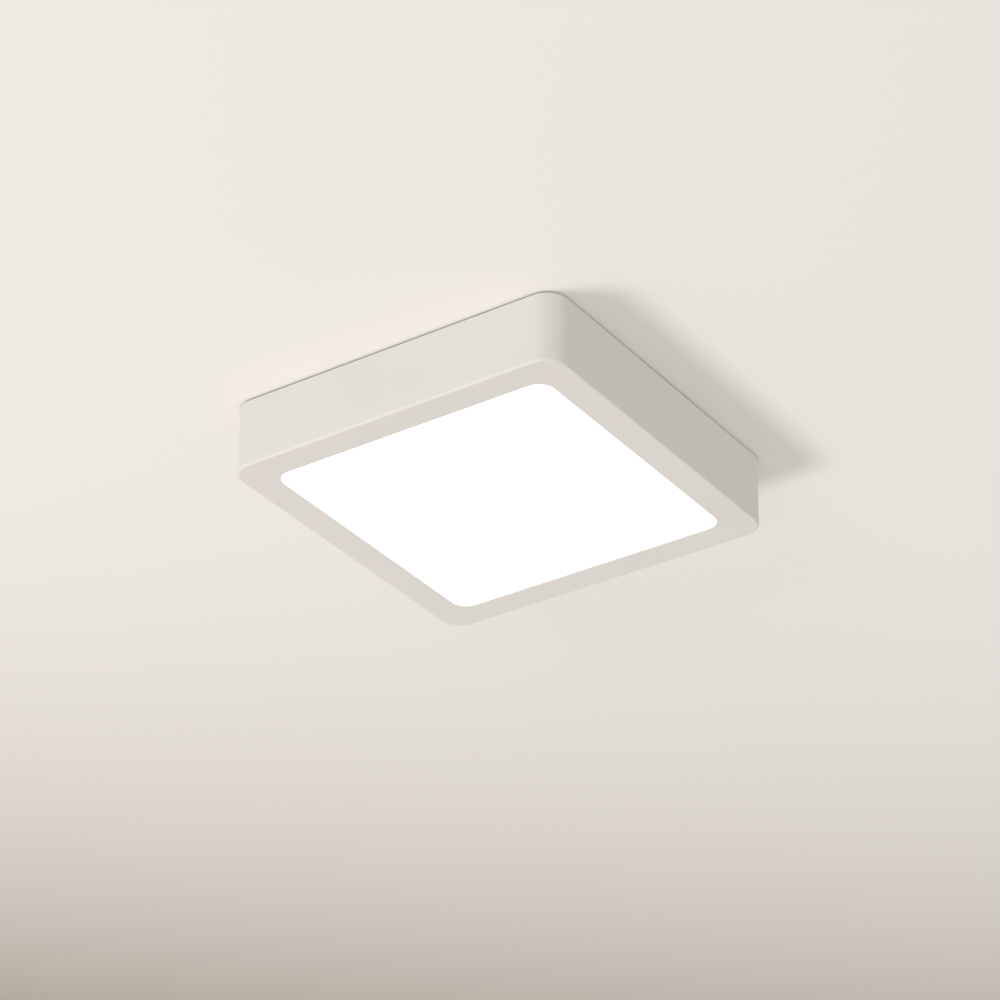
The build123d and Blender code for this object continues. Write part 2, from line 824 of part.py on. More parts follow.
with BuildPart() as terminal_block:
    block(0, block_y, block_length, block_width, deck_z, block_top_z)
    fillet(terminal_block.faces().sort_by(Axis.Z)[-1].edges(), block_edge_r)
    ears_length = block_length + 2 * block_ear
    block(0, block_y, ears_length, block_ear_width, deck_z, deck_z + block_ear_t)
    for x in pole_x:
        # Hollow for the contact, shaft for the button, wire entry and outlet
        block(x, pole_mid_y, pole_cavity, pole_depth, deck_z + pole_floor, roof_z, Mode.SUBTRACT)
        block(
            x,
            button_y,
            button_width + 2 * button_gap,
            button_length + 2 * button_gap,
            roof_z,
            block_top_z,
            Mode.SUBTRACT,
        )
    with BuildSketch(Plane.XZ.offset(-block_front_y)) as entries:
        with Locations((0, deck_z + entry_z)):
            with GridLocations(pole_pitch, 0, 3, 1):
                Rectangle(entry_size, entry_size)
    extrude(entries.sketch, amount=-(cavity_front_y - block_front_y), mode=Mode.SUBTRACT)
    # Wide mouths lead the wires into the entries
    entry_mouths = terminal_block.faces().filter_by(Axis.Y).sort_by(Axis.Y)[0].inner_wires()
    chamfer([edge for mouth in entry_mouths for edge in mouth.edges()], mouth_bevel)
    with BuildSketch(Plane.XZ.offset(-cavity_back_y)) as outlets:
        with Locations((0, deck_z + entry_z)):
            with GridLocations(pole_pitch, 0, 3, 1):
                Circle(outlet_r)
    extrude(outlets.sketch, amount=-(block_back_y - cavity_back_y), mode=Mode.SUBTRACT)
    rods(block_screw_places, screw_r + hole_clearance, deck_z, deck_z + block_ear_t, Mode.SUBTRACT)
save(terminal_block.part, "terminal_block")

save(
    screws(
        block_screw_places,
        deck_z + block_ear_t,
        screw_r,
        screw_head_r,
        screw_head_h,
        block_ear_t + plate_t,
    ),
    "terminal_screws",
)

contact_bottom_z = deck_z + pole_floor
contact_width = pole_cavity - 2 * contact_gap
contact_length = pole_depth - 2 * contact_end_gap
with BuildPart() as terminal_contacts:
    for x in pole_x:
        # Open channel of brass, with a tongue that grips the wire
        block(
            x,
            pole_mid_y,
            contact_width,
            contact_length,
            contact_bottom_z,
            contact_bottom_z + contact_height,
        )
        block(
            x,
            pole_mid_y,
            contact_width - 2 * contact_t,
            contact_length,
            contact_bottom_z + contact_t,
            contact_bottom_z + contact_height,
            Mode.SUBTRACT,
        )
        block(
            x,
            cavity_back_y - tongue_setback,
            contact_width - 2 * contact_t,
            contact_t,
            contact_bottom_z + contact_t,
            contact_bottom_z + contact_height - tongue_drop,
        )
save(terminal_contacts.part, "terminal_contacts")


def release_button(name, x):
    """Model a release button: a cap above the block, a shank and a foot under its roof."""
    with BuildPart() as button:
        block(x, button_y, button_width, button_length, roof_z, block_top_z + button_rise)
        fillet(button.faces().sort_by(Axis.Z)[-1].edges(), button_edge_r)
        block(
            x,
            button_y,
            button_foot_width,
            button_foot_length,
            roof_z - button_foot_h,
            roof_z,
        )
        shank_width = button_width - 2 * button_shank_step
        block(x, button_y, shank_width, button_length, roof_z - button_shank, roof_z)
    save(button.part, name)


release_button("button_earth", pole_x[0])
release_button("button_neutral", pole_x[1])
release_button("button_live", pole_x[2])

# ---------------------------------------------------------------- strain relief

with BuildPart() as cord_clamp:
    block(0, clamp_y, clamp_length, clamp_width, deck_z, deck_z + clamp_foot_h)
    with BuildSketch(Plane.XZ.offset(-clamp_y - clamp_width / 2)) as saddle:
        with Locations((0, deck_z + clamp_arch_z)):
            Circle(clamp_height - clamp_arch_z)
        with Locations((0, deck_z - clamp_height)):
            Rectangle(3 * clamp_height, 2 * clamp_height, mode=Mode.SUBTRACT)
    extrude(saddle.sketch, amount=clamp_width)
    with BuildSketch(Plane.XZ.offset(-clamp_y - clamp_width / 2)) as arch:
        with Locations((0, deck_z + clamp_arch_z)):
            Circle(clamp_arch_r)
        with Locations((0, deck_z + clamp_arch_z / 2)):
            Rectangle(2 * clamp_arch_r, clamp_arch_z)
    extrude(arch.sketch, amount=clamp_width, mode=Mode.SUBTRACT)
    rods(clamp_screw_places, screw_r + hole_clearance, deck_z, deck_z + clamp_foot_h, Mode.SUBTRACT)
save(cord_clamp.part, "cord_clamp")

save(
    screws(
        clamp_screw_places,
        deck_z + clamp_foot_h,
        screw_r,
        screw_head_r,
        screw_head_h,
        clamp_foot_h + plate_t,
    ),
    "cord_clamp_screws",
)

# ---------------------------------------------------------------- spring clips

nose_x = bracket_end_x - clip_nose
nose_points = [
    (clip_leg_x + clip_foot_length, deck_z + clip_t / 2),
    (clip_leg_x + clip_t / 2, deck_z + clip_t / 2),
    (clip_leg_x + clip_t / 2, clip_nose_z - clip_nose_half),
    (nose_x, clip_nose_z),
    (clip_leg_x + clip_tip_flare, clip_tip_z),
]


def spring_clip(name, side):
    """Model one spring clip: a riveted foot, a leg, a nose and a flared tip."""
    with BuildPart() as clip:
        with BuildSketch(Plane.XZ.offset(-clip_width / 2)) as strip:
            with BuildLine():
                FilletPolyline(*[(side * x, z) for x, z in nose_points], radius=clip_bend_r)
            trace(line_width=clip_t)
        extrude(strip.sketch, amount=clip_width)
        rods(
            [place for place in rivet_places if place[0] * side > 0],
            rivet_r,
            deck_z,
            deck_z + clip_t,
            Mode.SUBTRACT,
        )
    save(clip.part, name)


spring_clip("spring_clip_left", -1)
spring_clip("spring_clip_right", 1)

save(
    screws(rivet_places, deck_z + clip_t, rivet_r, rivet_head_r, rivet_head_h, clip_t + plate_t),
    "clip_rivets",
)

# ---------------------------------------------------------------- protective earth

earth_barrel_y = earth_y + earth_ring_r + earth_neck
with BuildPart() as earth_ring:
    rods([(earth_x, earth_y)], earth_ring_r, deck_z, deck_z + earth_ring_t)
    block(
        earth_x,
        (earth_y + earth_barrel_y) / 2 + earth_neck,
        2 * earth_barrel_r,
        earth_barrel_y - earth_y + 2 * earth_neck,
        deck_z,
        deck_z + earth_ring_t,
    )
    with BuildSketch(Plane.XZ.offset(-earth_barrel_y)) as barrel:
        with Locations((earth_x, deck_z + earth_barrel_r)):
            Circle(earth_barrel_r)
            Circle(mains_lead_r + crimp_gap, mode=Mode.SUBTRACT)
    extrude(barrel.sketch, amount=-earth_barrel_length)
    rods([(earth_x, earth_y)], earth_screw_r + hole_clearance, deck_z, deck_z + earth_ring_t, Mode.SUBTRACT)
save(earth_ring.part, "earth_ring")

save(
    screws(
        [(earth_x, earth_y)],
        deck_z + earth_ring_t,
        earth_screw_r,
        earth_head_r,
        earth_head_h,
        earth_ring_t + plate_t,
    ),
    "earth_screw",
)

# ---------------------------------------------------------------- leads

outlet_z = deck_z + entry_z
low_z = deck_z + mains_lead_r + lead_lift
input_end_x = -connector_x - connector_length / 2
output_end_x = connector_x + connector_length / 2

# The three mains leads leave the block side by side and nest round the driver's end
live_points = [
    (pole_x[2], block_back_y - lead_reach, outlet_z),
    (pole_x[2], block_back_y + lead_straight + 2 * lead_nest, outlet_z),
    (live_turn_x, block_back_y + live_turn_y, low_z + lead_cross),
    (live_side_x - clip_leg_x, block_back_y + live_side_y, low_z + lead_lift),
    (live_corner_x, driver_front_y, lead_hole_z - live_corner_drop),
    (live_entry_x, driver_y - input_pitch / 2, lead_hole_z),
    (input_end_x, driver_y - input_pitch / 2, lead_hole_z),
]
neutral_points = [
    (pole_x[1], block_back_y - lead_reach, outlet_z),
    (pole_x[1], block_back_y + lead_straight + lead_nest, outlet_z),
    (neutral_turn_x, block_back_y + neutral_turn_y, low_z + lead_lift),
    (neutral_side_x - clip_leg_x, block_back_y + neutral_side_y, low_z + lead_lift),
    (neutral_corner_x, driver_front_y + lead_nest, lead_hole_z - neutral_corner_drop),
    (neutral_entry_x, driver_y + input_pitch / 2, lead_hole_z),
    (input_end_x, driver_y + input_pitch / 2, lead_hole_z),
]
barrel_mid_z = deck_z + earth_barrel_r
barrel_open_y = earth_barrel_y + earth_barrel_length
earth_points = [
    (pole_x[0], block_back_y - lead_reach, outlet_z),
    (pole_x[0], block_back_y + lead_straight, outlet_z),
    (earth_turn_x, block_back_y + earth_turn_y, low_z + lead_cross),
    (earth_x + earth_swing, block_back_y + earth_turn_y, low_z + lead_lift),
    (earth_x, barrel_open_y + earth_straight, barrel_mid_z),
    (earth_x, earth_barrel_y + crimp_depth, barrel_mid_z),
]
save(lead("live_lead", live_points, mains_lead_r), "live_lead")
save(lead("neutral_lead", neutral_points, mains_lead_r), "neutral_lead")
save(lead("earth_lead", earth_points, mains_lead_r), "earth_lead")

tail_low_z = diffuser_top_z + tail_rise
for name, end in (("led_lead_minus", -1), ("led_lead_plus", 1)):
    lead_y = tail_y + end * led_lead_pitch / 2
    exit_y = driver_y + end * led_lead_pitch / 2
    led_points = [
        (output_end_x, exit_y, lead_hole_z),
        (output_end_x + led_lead_out, exit_y, lead_hole_z),
        (
            channel_mid - led_lead_inset,
            lead_y + end * led_lead_spread,
            lead_hole_z + led_lead_arch,
        ),
        (channel_mid, lead_y, deck_z + led_lead_drop_z),
        (channel_mid, lead_y, tail_low_z),
    ]
    save(lead(name, led_points, led_lead_r), name)

# ---------------------------------------------------------------- bracket on the ceiling

window_half = clip_nose_half - window_lap
window_width = clip_width + 2 * window_clearance

with BuildPart() as mounting_bracket:
    # Bar with turned-down ends, drawn from the side
    with BuildSketch(Plane.XZ.offset(-bracket_width / 2)) as profile:
        with BuildLine():
            FilletPolyline(
                (-bracket_end_x + bracket_t / 2, -bracket_end_depth),
                (-bracket_end_x + bracket_t / 2, -bracket_t / 2),
                (bracket_end_x - bracket_t / 2, -bracket_t / 2),
                (bracket_end_x - bracket_t / 2, -bracket_end_depth),
                radius=bend_r + bracket_t / 2,
            )
        trace(line_width=bracket_t)
    extrude(profile.sketch, amount=bracket_width)
    fillet(
        mounting_bracket.edges().filter_by(Axis.X).group_by(Axis.Z)[0],
        bracket_corner_r,
    )
    # Turned-down sides
    for side in (-1, 1):
        with BuildSketch(Plane.YZ.offset(-bracket_side_length / 2)) as side_profile:
            with Locations((side * (bracket_width / 2 - bracket_t / 2), -bracket_side_depth / 2)):
                Rectangle(bracket_t, bracket_side_depth)
        extrude(side_profile.sketch, amount=bracket_side_length)
    # Dished middle round the cable hole
    with BuildSketch(Plane.XZ) as dish:
        with BuildLine():
            Polyline(
                (0, 0),
                (dish_top_r, 0),
                (dish_floor_r, -dish_depth),
                (0, -dish_depth),
                (0, 0),
            )
        make_face()
    with BuildSketch(Plane.XZ) as dish_underside:
        with BuildLine():
            Polyline(
                (0, -dish_depth - bracket_t),
                (dish_floor_r + dish_skin, -dish_depth - bracket_t),
                (dish_top_r + dish_skin, -bracket_t),
                (0, -bracket_t),
                (0, -dish_depth - bracket_t),
            )
        make_face()
    revolve(dish_underside.sketch, axis=Axis.Z)
    revolve(dish.sketch, axis=Axis.Z, mode=Mode.SUBTRACT)
    rods([(0, 0)], cable_hole_r, -dish_depth - bracket_t, 0, Mode.SUBTRACT)
    # Slots for the ceiling screws
    with BuildSketch() as slots:
        with GridLocations(slot_spacing, 0, 2, 1):
            SlotOverall(slot_length, slot_width)
    extrude(slots.sketch, amount=-bracket_t, mode=Mode.SUBTRACT)
    # Windows that catch the noses of the spring clips
    with BuildSketch(Plane.YZ.offset(-bracket_end_x)) as catches:
        with Locations((0, clip_nose_z)):
            Rectangle(window_width, 2 * window_half)
    extrude(catches.sketch, amount=bracket_length, mode=Mode.SUBTRACT)
save(mounting_bracket.part, "mounting_bracket")

groove_bottom_z = -dish_depth - bracket_t
with BuildPart() as cable_grommet:
    with BuildSketch(Plane.XZ) as grommet_profile:
        with BuildLine():
            Polyline(
                (grommet_bore_r, -dish_depth + grommet_flange_t),
                (grommet_flange_r - grommet_edge, -dish_depth + grommet_flange_t),
                (grommet_flange_r, -dish_depth + grommet_edge),
                (grommet_flange_r, -dish_depth),
                (cable_hole_r, -dish_depth),
                (cable_hole_r, groove_bottom_z),
                (grommet_flange_r, groove_bottom_z),
                (grommet_flange_r, groove_bottom_z - grommet_edge),
                (grommet_flange_r - grommet_edge, groove_bottom_z - grommet_flange_t),
                (grommet_bore_r, groove_bottom_z - grommet_flange_t),
                (grommet_bore_r, -dish_depth + grommet_flange_t),
            )
        make_face()
    revolve(grommet_profile.sketch, axis=Axis.Z)
save(cable_grommet.part, "cable_grommet")
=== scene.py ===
"""Looks of a square flush mount ceiling light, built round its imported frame.

All sizes are in metres and every piece lies in the frame's own axes: the origin is on the
ceiling at the middle of the mounting bracket, and +Z points up into the ceiling.
"""

import json
import logging
import math
from dataclasses import dataclass
from enum import Enum
from typing import Iterable, Mapping, Sequence, Union

import bmesh
import bpy
from mathutils import Matrix, Quaternion, Vector


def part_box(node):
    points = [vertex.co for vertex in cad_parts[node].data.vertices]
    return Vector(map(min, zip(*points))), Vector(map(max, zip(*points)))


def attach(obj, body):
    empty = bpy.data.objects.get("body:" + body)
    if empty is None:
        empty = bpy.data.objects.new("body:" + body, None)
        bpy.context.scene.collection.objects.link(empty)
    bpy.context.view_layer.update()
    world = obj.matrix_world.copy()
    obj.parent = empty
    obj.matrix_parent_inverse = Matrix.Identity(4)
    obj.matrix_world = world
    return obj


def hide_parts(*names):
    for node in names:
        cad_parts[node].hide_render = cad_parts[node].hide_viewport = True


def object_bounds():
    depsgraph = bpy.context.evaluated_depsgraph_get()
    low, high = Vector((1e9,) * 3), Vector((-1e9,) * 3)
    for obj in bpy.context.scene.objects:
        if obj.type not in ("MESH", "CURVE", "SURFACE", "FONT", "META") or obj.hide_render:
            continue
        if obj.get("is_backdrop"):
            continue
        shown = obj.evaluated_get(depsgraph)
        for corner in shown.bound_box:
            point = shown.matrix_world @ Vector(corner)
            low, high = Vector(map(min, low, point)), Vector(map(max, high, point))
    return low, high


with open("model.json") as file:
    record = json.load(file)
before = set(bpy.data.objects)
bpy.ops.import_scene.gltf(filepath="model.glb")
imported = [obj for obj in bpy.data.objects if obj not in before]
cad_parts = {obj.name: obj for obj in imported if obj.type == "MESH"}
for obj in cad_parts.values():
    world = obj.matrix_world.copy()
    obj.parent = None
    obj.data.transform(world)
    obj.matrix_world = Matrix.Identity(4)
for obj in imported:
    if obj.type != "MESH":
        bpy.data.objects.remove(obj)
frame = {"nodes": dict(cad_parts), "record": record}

log = logging.getLogger("ceiling_light")

Colour = tuple[float, float, float, float]
Point = tuple[float, float, float]
Place = tuple[float, float]
Value = Union["Socket", bpy.types.NodeSocket, float, tuple]

MM = 0.001
SHARP = math.radians(40.0)
FLAT = math.radians(0.4)
WELD = 0.5e-6
SPIRAL_EDGES = 20
WIRE_EDGES = 6
LAYER_TURN = 2.4
DOT_EDGES = 8
DOT_DEPTH = 0.02 * MM
BOSS_OFFSET = 55.0 * MM


# ------------------------------------------------------------------ node trees


class Socket:
    """An output of a node tree; Python operators on it add Math nodes."""

    def __init__(self, tree: "Tree", output: bpy.types.NodeSocket) -> None:
        """Holds the tree that the output belongs to, and the output."""
        self.tree = tree
        self.output = output

    def maths(self, operation: str, *values: Value) -> "Socket":
        """Returns the result of a Math node, with values as the inputs after this one."""
        return self.tree.maths(operation, self, *values)

    def __add__(self, other: Value) -> "Socket":
        """Returns self + other."""
        return self.maths("ADD", other)

    def __sub__(self, other: Value) -> "Socket":
        """Returns self - other."""
        return self.maths("SUBTRACT", other)

    def __rsub__(self, other: Value) -> "Socket":
        """Returns other - self."""
        return self.tree.maths("SUBTRACT", other, self)

    def __mul__(self, other: Value) -> "Socket":
        """Returns self * other."""
        return self.maths("MULTIPLY", other)

    def __truediv__(self, other: Value) -> "Socket":
        """Returns self / other."""
        return self.maths("DIVIDE", other)

    def __mod__(self, other: Value) -> "Socket":
        """Returns the remainder of self / other, from 0 up to other."""
        return self.maths("FLOORED_MODULO", other)

    def __gt__(self, other: Value) -> "Socket":
        """Returns 1 where self is above other, and 0 elsewhere."""
        return self.maths("GREATER_THAN", other)

    def __lt__(self, other: Value) -> "Socket":
        """Returns 1 where self is below other, and 0 elsewhere."""
        return self.maths("LESS_THAN", other)

    __radd__ = __add__
    __rmul__ = __mul__

    def border(self, other: "Socket") -> "Socket":
        """Returns how far a point is from the middle of a square, from its two coordinates."""
        return self.maths("ABSOLUTE").maths("MAXIMUM", other.maths("ABSOLUTE"))

    def step(self, low: float, high: float) -> "Socket":
        """Rises smoothly from 0 at low to 1 at high.

        Args:
            low: where the result leaves 0.
            high: where it reaches 1.

        Returns:
            The result, held between 0 and 1.
        """
        sockets = {"Value": self, "From Min": low, "From Max": high}
        kind = {"interpolation_type": "SMOOTHSTEP"}
        return self.tree.output("ShaderNodeMapRange", sockets, "Result", kind)


class Tree:
    """Adds nodes to one node tree, a material's or a Geometry Nodes group's."""

    def __init__(self, tree: bpy.types.NodeTree) -> None:
        """Holds the tree."""
        self.tree = tree

    def node(
        self,
        kind: str,
        settings: Mapping[str, object] | None = None,
        sockets: Mapping[str | int, Value] | None = None,
    ) -> bpy.types.Node:
        """Adds one node.

        Args:
            kind: the node's type.
            settings: its properties, set first.
            sockets: values or links for its inputs, by name or by number.

        Returns:
            The new node.
        """
        node = self.tree.nodes.new(kind)
        for name, value in (settings or {}).items():
            setattr(node, name, value)
        for name, value in (sockets or {}).items():
            self.feed(node.inputs[name], value)
        return node

    def output(
        self,
        kind: str,
        sockets: Mapping[str | int, Value] | None = None,
        output: str | int = 0,
        settings: Mapping[str, object] | None = None,
    ) -> Socket:
        """Adds one node, and returns the output that is wanted."""
        return Socket(self, self.node(kind, settings, sockets).outputs[output])

    def split(self, vector: Value) -> tuple[Socket, Socket, Socket]:
        """Returns the x, y and z of a vector."""
        node = self.node("ShaderNodeSeparateXYZ", None, {0: vector})
        return tuple(Socket(self, output) for output in node.outputs)

    def feed(self, target: bpy.types.NodeSocket, value: Value) -> None:
        """Links a socket to an input, or sets the input's own value.

        Args:
            target: the input.
            value: an output to link, or a plain value.
        """
        if isinstance(value, Socket):
            self.tree.links.new(value.output, target)
        elif isinstance(value, bpy.types.NodeSocket):
            self.tree.links.new(value, target)
        else:
            target.default_value = value

    def maths(self, operation: str, *values: Value) -> Socket:
        """Returns the result of a Math node, with values as its inputs in order."""
        inputs = dict(enumerate(values))
        return self.output("ShaderNodeMath", inputs, settings={"operation": operation})


class Shader(Tree):
    """One material that is written as expressions, on object coordinates in metres."""

    def __init__(self, name: str) -> None:
        """Makes an empty material of that name."""
        self.material = bpy.data.materials.new(name)
        self.material.use_nodes = True
        super().__init__(self.material.node_tree)
        self.tree.nodes.clear()
        self.place = self.output("ShaderNodeTexCoord", output="Object")

    def axes(self) -> tuple[Socket, Socket, Socket]:
        """Returns the x, y and z of the point on the piece."""
        return self.split(self.place)

    def stretched(self, factors: Point) -> Socket:
        """Returns the point on the piece, scaled by a factor along each axis."""
        operation = {"operation": "MULTIPLY"}
        return self.output("ShaderNodeVectorMath", {0: self.place, 1: factors}, 0, operation)

    def noise(self, size: float, detail: float = 2.0, place: Socket | None = None) -> Socket:
        """Returns noise around 0.5, with blotches of a size in metres."""
        sockets = {"Vector": place or self.place, "Scale": 1.0 / size, "Detail": detail}
        return self.output("ShaderNodeTexNoise", sockets, "Fac")

    def cells(self, size: float, result: str = "Distance") -> Socket:
        """Returns an output of irregular cells of about a size in metres."""
        sockets = {"Vector": self.place, "Scale": 1.0 / size}
        return self.output("ShaderNodeTexVoronoi", sockets, result)

    def blend(self, factor: Value, first: Value, second: Value) -> Socket:
        """Returns a mix of two colours; factor 0 gives the first and 1 the second."""
        sockets = {0: factor, 6: first, 7: second}
        return self.output("ShaderNodeMix", sockets, 2, {"data_type": "RGBA"})

    def relief(self, height: Socket, depth: float, strength: float = 1.0) -> Socket:
        """Returns the normal of a height pattern from 0 to 1, with its depth in metres."""
        sockets = {"Height": height, "Distance": depth, "Strength": strength}
        return self.output("ShaderNodeBump", sockets, "Normal")

    def surface(self, **sockets: Value) -> None:
        """Ends the material in a Principled shader.

        Args:
            sockets: its inputs, with underscores for the spaces in their names.
        """
        named = {name.replace("_", " "): value for name, value in sockets.items()}
        shader = self.output("ShaderNodeBsdfPrincipled", named)
        self.node("ShaderNodeOutputMaterial", None, {"Surface": shader})


# ------------------------------------------------------------------ finishes


def tone(red: float, green: float, blue: float) -> Colour:
    """Returns a linear colour with full alpha."""
    return (red, green, blue, 1.0)


def shade(colour: Colour, factor: float) -> Colour:
    """Returns a colour made darker or lighter by a factor."""
    return (*(min(1.0, part * factor) for part in colour[:3]), 1.0)


@dataclass(frozen=True)
class Finish:
    """A finish that can be put on pieces."""

    name: str

    def material(self) -> bpy.types.Material:
        """Finds the finish's material, and makes it at its first use.

        Returns:
            The material.
        """
        found = bpy.data.materials.get(f"{self.name}_finish")
        if found is None:
            shader = Shader(f"{self.name}_finish")
            self.write(shader)
            found = shader.material
        return found

    def write(self, shader: Shader) -> None:
        """Writes the finish's nodes; each finish has its own."""
        raise NotImplementedError

    def dress(self, piece: bpy.types.Object) -> None:
        """Puts the finish on all of a piece.

        Args:
            piece: the piece.
        """
        if not piece.material_slots:
            piece.data.materials.append(None)
        for slot in piece.material_slots:
            slot.link = "OBJECT"
            slot.material = self.material()


@dataclass(frozen=True)
class PowderCoat(Finish):
    """Baked powder coat: satin, with a fine orange peel, and painted shade on its edge next to the
    ceiling.
    """

    colour: Colour = tone(0.78, 0.752, 0.737)
    roughness: float = 0.58
    peel: float = 0.9 * MM
    depth: float = 0.012 * MM
    rim_z: float = -0.62 * MM
    # painted shade: how dark the coat is painted on the edge next to the ceiling
    rim_painted_shade: float = 0.35

    def write(self, shader: Shader) -> None:
        """Writes the coat's nodes.

        Args:
            shader: the material that they go in.
        """
        flow = shader.noise(38 * MM, 1.0)
        peel = shader.noise(self.peel, 3.0)
        grains = shader.cells(0.35 * MM)
        colour = shader.blend(flow.step(0.3, 0.7), shade(self.colour, 0.985), self.colour)
        # painted shade: above rim_z the coat is darkened, standing in for the shade in the gap
        # between the rim and the ceiling
        rim = shader.axes()[2].step(self.rim_z - 0.1 * MM, self.rim_z)
        shader.surface(
            Base_Color=shader.blend(rim, colour, shade(self.colour, self.rim_painted_shade)),
            Roughness=self.roughness - 0.04 + 0.06 * flow + 0.03 * peel,
            Specular_IOR_Level=0.35,
            Normal=shader.relief(peel * 0.8 + grains * 0.2, self.depth, 0.6),
        )


@dataclass(frozen=True)
class LitOpal(Finish):
    """Opal plastic that is lit evenly from behind."""

    colour: Colour = tone(0.86, 0.86, 0.85)
    glow: Colour = tone(1.0, 0.995, 0.985)
    strength: float = 1.15
    half: float = 70.3 * MM

    def write(self, shader: Shader) -> None:
        """Writes the lit plastic's nodes.

        Args:
            shader: the material that they go in.
        """
        x, y, _ = shader.axes()
        border = x.border(y)
        edge = border.step(self.half - 1.2 * MM, self.half)
        frost = shader.noise(0.5 * MM, 2.0)
        shader.surface(
            Base_Color=shader.blend(edge, self.colour, shade(self.colour, 0.9)),
            Roughness=0.48 + 0.08 * frost,
            Emission_Color=shader.blend(edge, self.glow, shade(self.glow, 0.86)),
            Emission_Strength=self.strength,
            Normal=shader.relief(frost, 0.006 * MM, 0.5),
        )


@dataclass(frozen=True)
class DottedAcrylic(Finish):
    """Clear acrylic with white dots printed on its rear face, larger towards the middle."""

    colour: Colour = tone(0.93, 0.97, 0.96)
    ink: Colour = tone(0.86, 0.87, 0.86)
    pitch: float = 2.0 * MM
    half: float = 73.7 * MM
    largest: float = 0.82 * MM
    shrink: float = 0.45 * MM
    blur: float = 0.04 * MM

    def write(self, shader: Shader) -> None:
        """Writes the acrylic's nodes.

        Args:
            shader: the material that they go in.
        """
        x, y, _ = shader.axes()
        border = x.border(y)
        across = x % self.pitch - self.pitch / 2
        along = y % self.pitch - self.pitch / 2
        distance = (across * across + along * along).maths("SQRT")
        radius = self.largest - border / self.half * self.shrink
        dots = (radius - distance).step(-self.blur, self.blur)
        shader.surface(
            Base_Color=shader.blend(dots, self.colour, self.ink),
            Roughness=0.06 + 0.5 * dots,
            IOR=1.49,
            Transmission_Weight=0.55,
        )


@dataclass(frozen=True)
class FoamSheet(Finish):
    """Open-celled foam, with painted shade in its pores."""

    colour: Colour = tone(0.34, 0.34, 0.35)
    cell: float = 0.55 * MM

    def write(self, shader: Shader) -> None:
        """Writes the foam's nodes.

        Args:
            shader: the material that they go in.
        """
        pores = shader.cells(self.cell)
        fibre = shader.noise(0.2 * MM)
        shader.surface(
            # painted shade: the colour darkens in the pores
            Base_Color=shader.blend(pores.step(0.1, 0.6), shade(self.colour, 0.55), self.colour),
            Roughness=0.92,
            Normal=shader.relief(pores + 0.3 * fibre, 0.18 * MM),
        )


@dataclass(frozen=True)
class ZincSheet(Finish):
    """Hot-dip galvanised or electroplated sheet steel, with crystals and rolling marks."""

    colour: Colour = tone(0.56, 0.575, 0.59)
    crystal: float = 4.0 * MM
    contrast: float = 0.07
    roughness: float = 0.38

    def write(self, shader: Shader) -> None:
        """Writes the sheet's nodes.

        Args:
            shader: the material that they go in.
        """
        crystal = shader.cells(self.crystal, result="Color")
        facet = shader.output("ShaderNodeSeparateColor", {0: crystal})
        cloud = shader.noise(22 * MM, 3.0)
        rolled = shader.noise(1.0, 2.0, shader.stretched((45.0, 2600.0, 2600.0)))
        dull = shade(self.colour, 1.0 - self.contrast)
        bright = shade(self.colour, 1.0 + self.contrast)
        mixed = facet * 0.55 + cloud * 0.45
        shader.surface(
            Base_Color=shader.blend(mixed, dull, bright),
            Metallic=1.0,
            Roughness=self.roughness + 0.05 * (facet - 0.5) + 0.08 * (rolled - 0.5),
            Normal=shader.relief(rolled * 0.6 + cloud * 0.4, 0.004 * MM, 0.5),
        )


@dataclass(frozen=True)
class PlatedSteel(Finish):
    """Turned or stamped steel under a thin bright plating."""

    colour: Colour = tone(0.66, 0.68, 0.70)
    tarnish: Colour = tone(0.50, 0.49, 0.45)
    roughness: float = 0.24

    def write(self, shader: Shader) -> None:
        """Writes the plating's nodes.

        Args:
            shader: the material that they go in.
        """
        cloud = shader.noise(1.6 * MM, 3.0)
        turned = shader.noise(1.0, 1.0, shader.stretched((900.0, 900.0, 9000.0)))
        shader.surface(
            Base_Color=shader.blend(cloud.step(0.45, 0.75), self.colour, self.tarnish),
            Metallic=1.0,
            Roughness=self.roughness + 0.14 * cloud + 0.06 * turned,
            Normal=shader.relief(turned, 0.004 * MM, 0.6),
        )


@dataclass(frozen=True)
class Moulded(Finish):
    """Moulded plastic with a fine spark-eroded grain."""

    colour: Colour = tone(0.62, 0.62, 0.61)
    roughness: float = 0.46
    grain: float = 0.32 * MM
    depth: float = 0.012 * MM

    def write(self, shader: Shader) -> None:
        """Writes the plastic's nodes.

        Args:
            shader: the material that they go in.
        """
        flow = shader.noise(14 * MM, 2.0)
        grain = shader.noise(self.grain, 2.0)
        shader.surface(
            Base_Color=shader.blend(flow, shade(self.colour, 0.93), shade(self.colour, 1.04)),
            Roughness=self.roughness - 0.05 + 0.1 * grain,
            Normal=shader.relief(grain, self.depth, 0.8),
        )


@dataclass(frozen=True)
class Rubber(Finish):
    """Soft rubber with a dusty bloom."""

    colour: Colour = tone(0.055, 0.056, 0.058)
    bloom: Colour = tone(0.10, 0.10, 0.10)

    def write(self, shader: Shader) -> None:
        """Writes the rubber's nodes.

        Args:
            shader: the material that they go in.
        """
        dust = shader.noise(3.5 * MM, 5.0)
        pores = shader.noise(0.18 * MM, 2.0)
        shader.surface(
            Base_Color=shader.blend(dust * 0.5 + pores * 0.15, self.colour, self.bloom),
            Roughness=0.58 + 0.12 * dust,
            Normal=shader.relief(pores, 0.008 * MM, 0.6),
        )


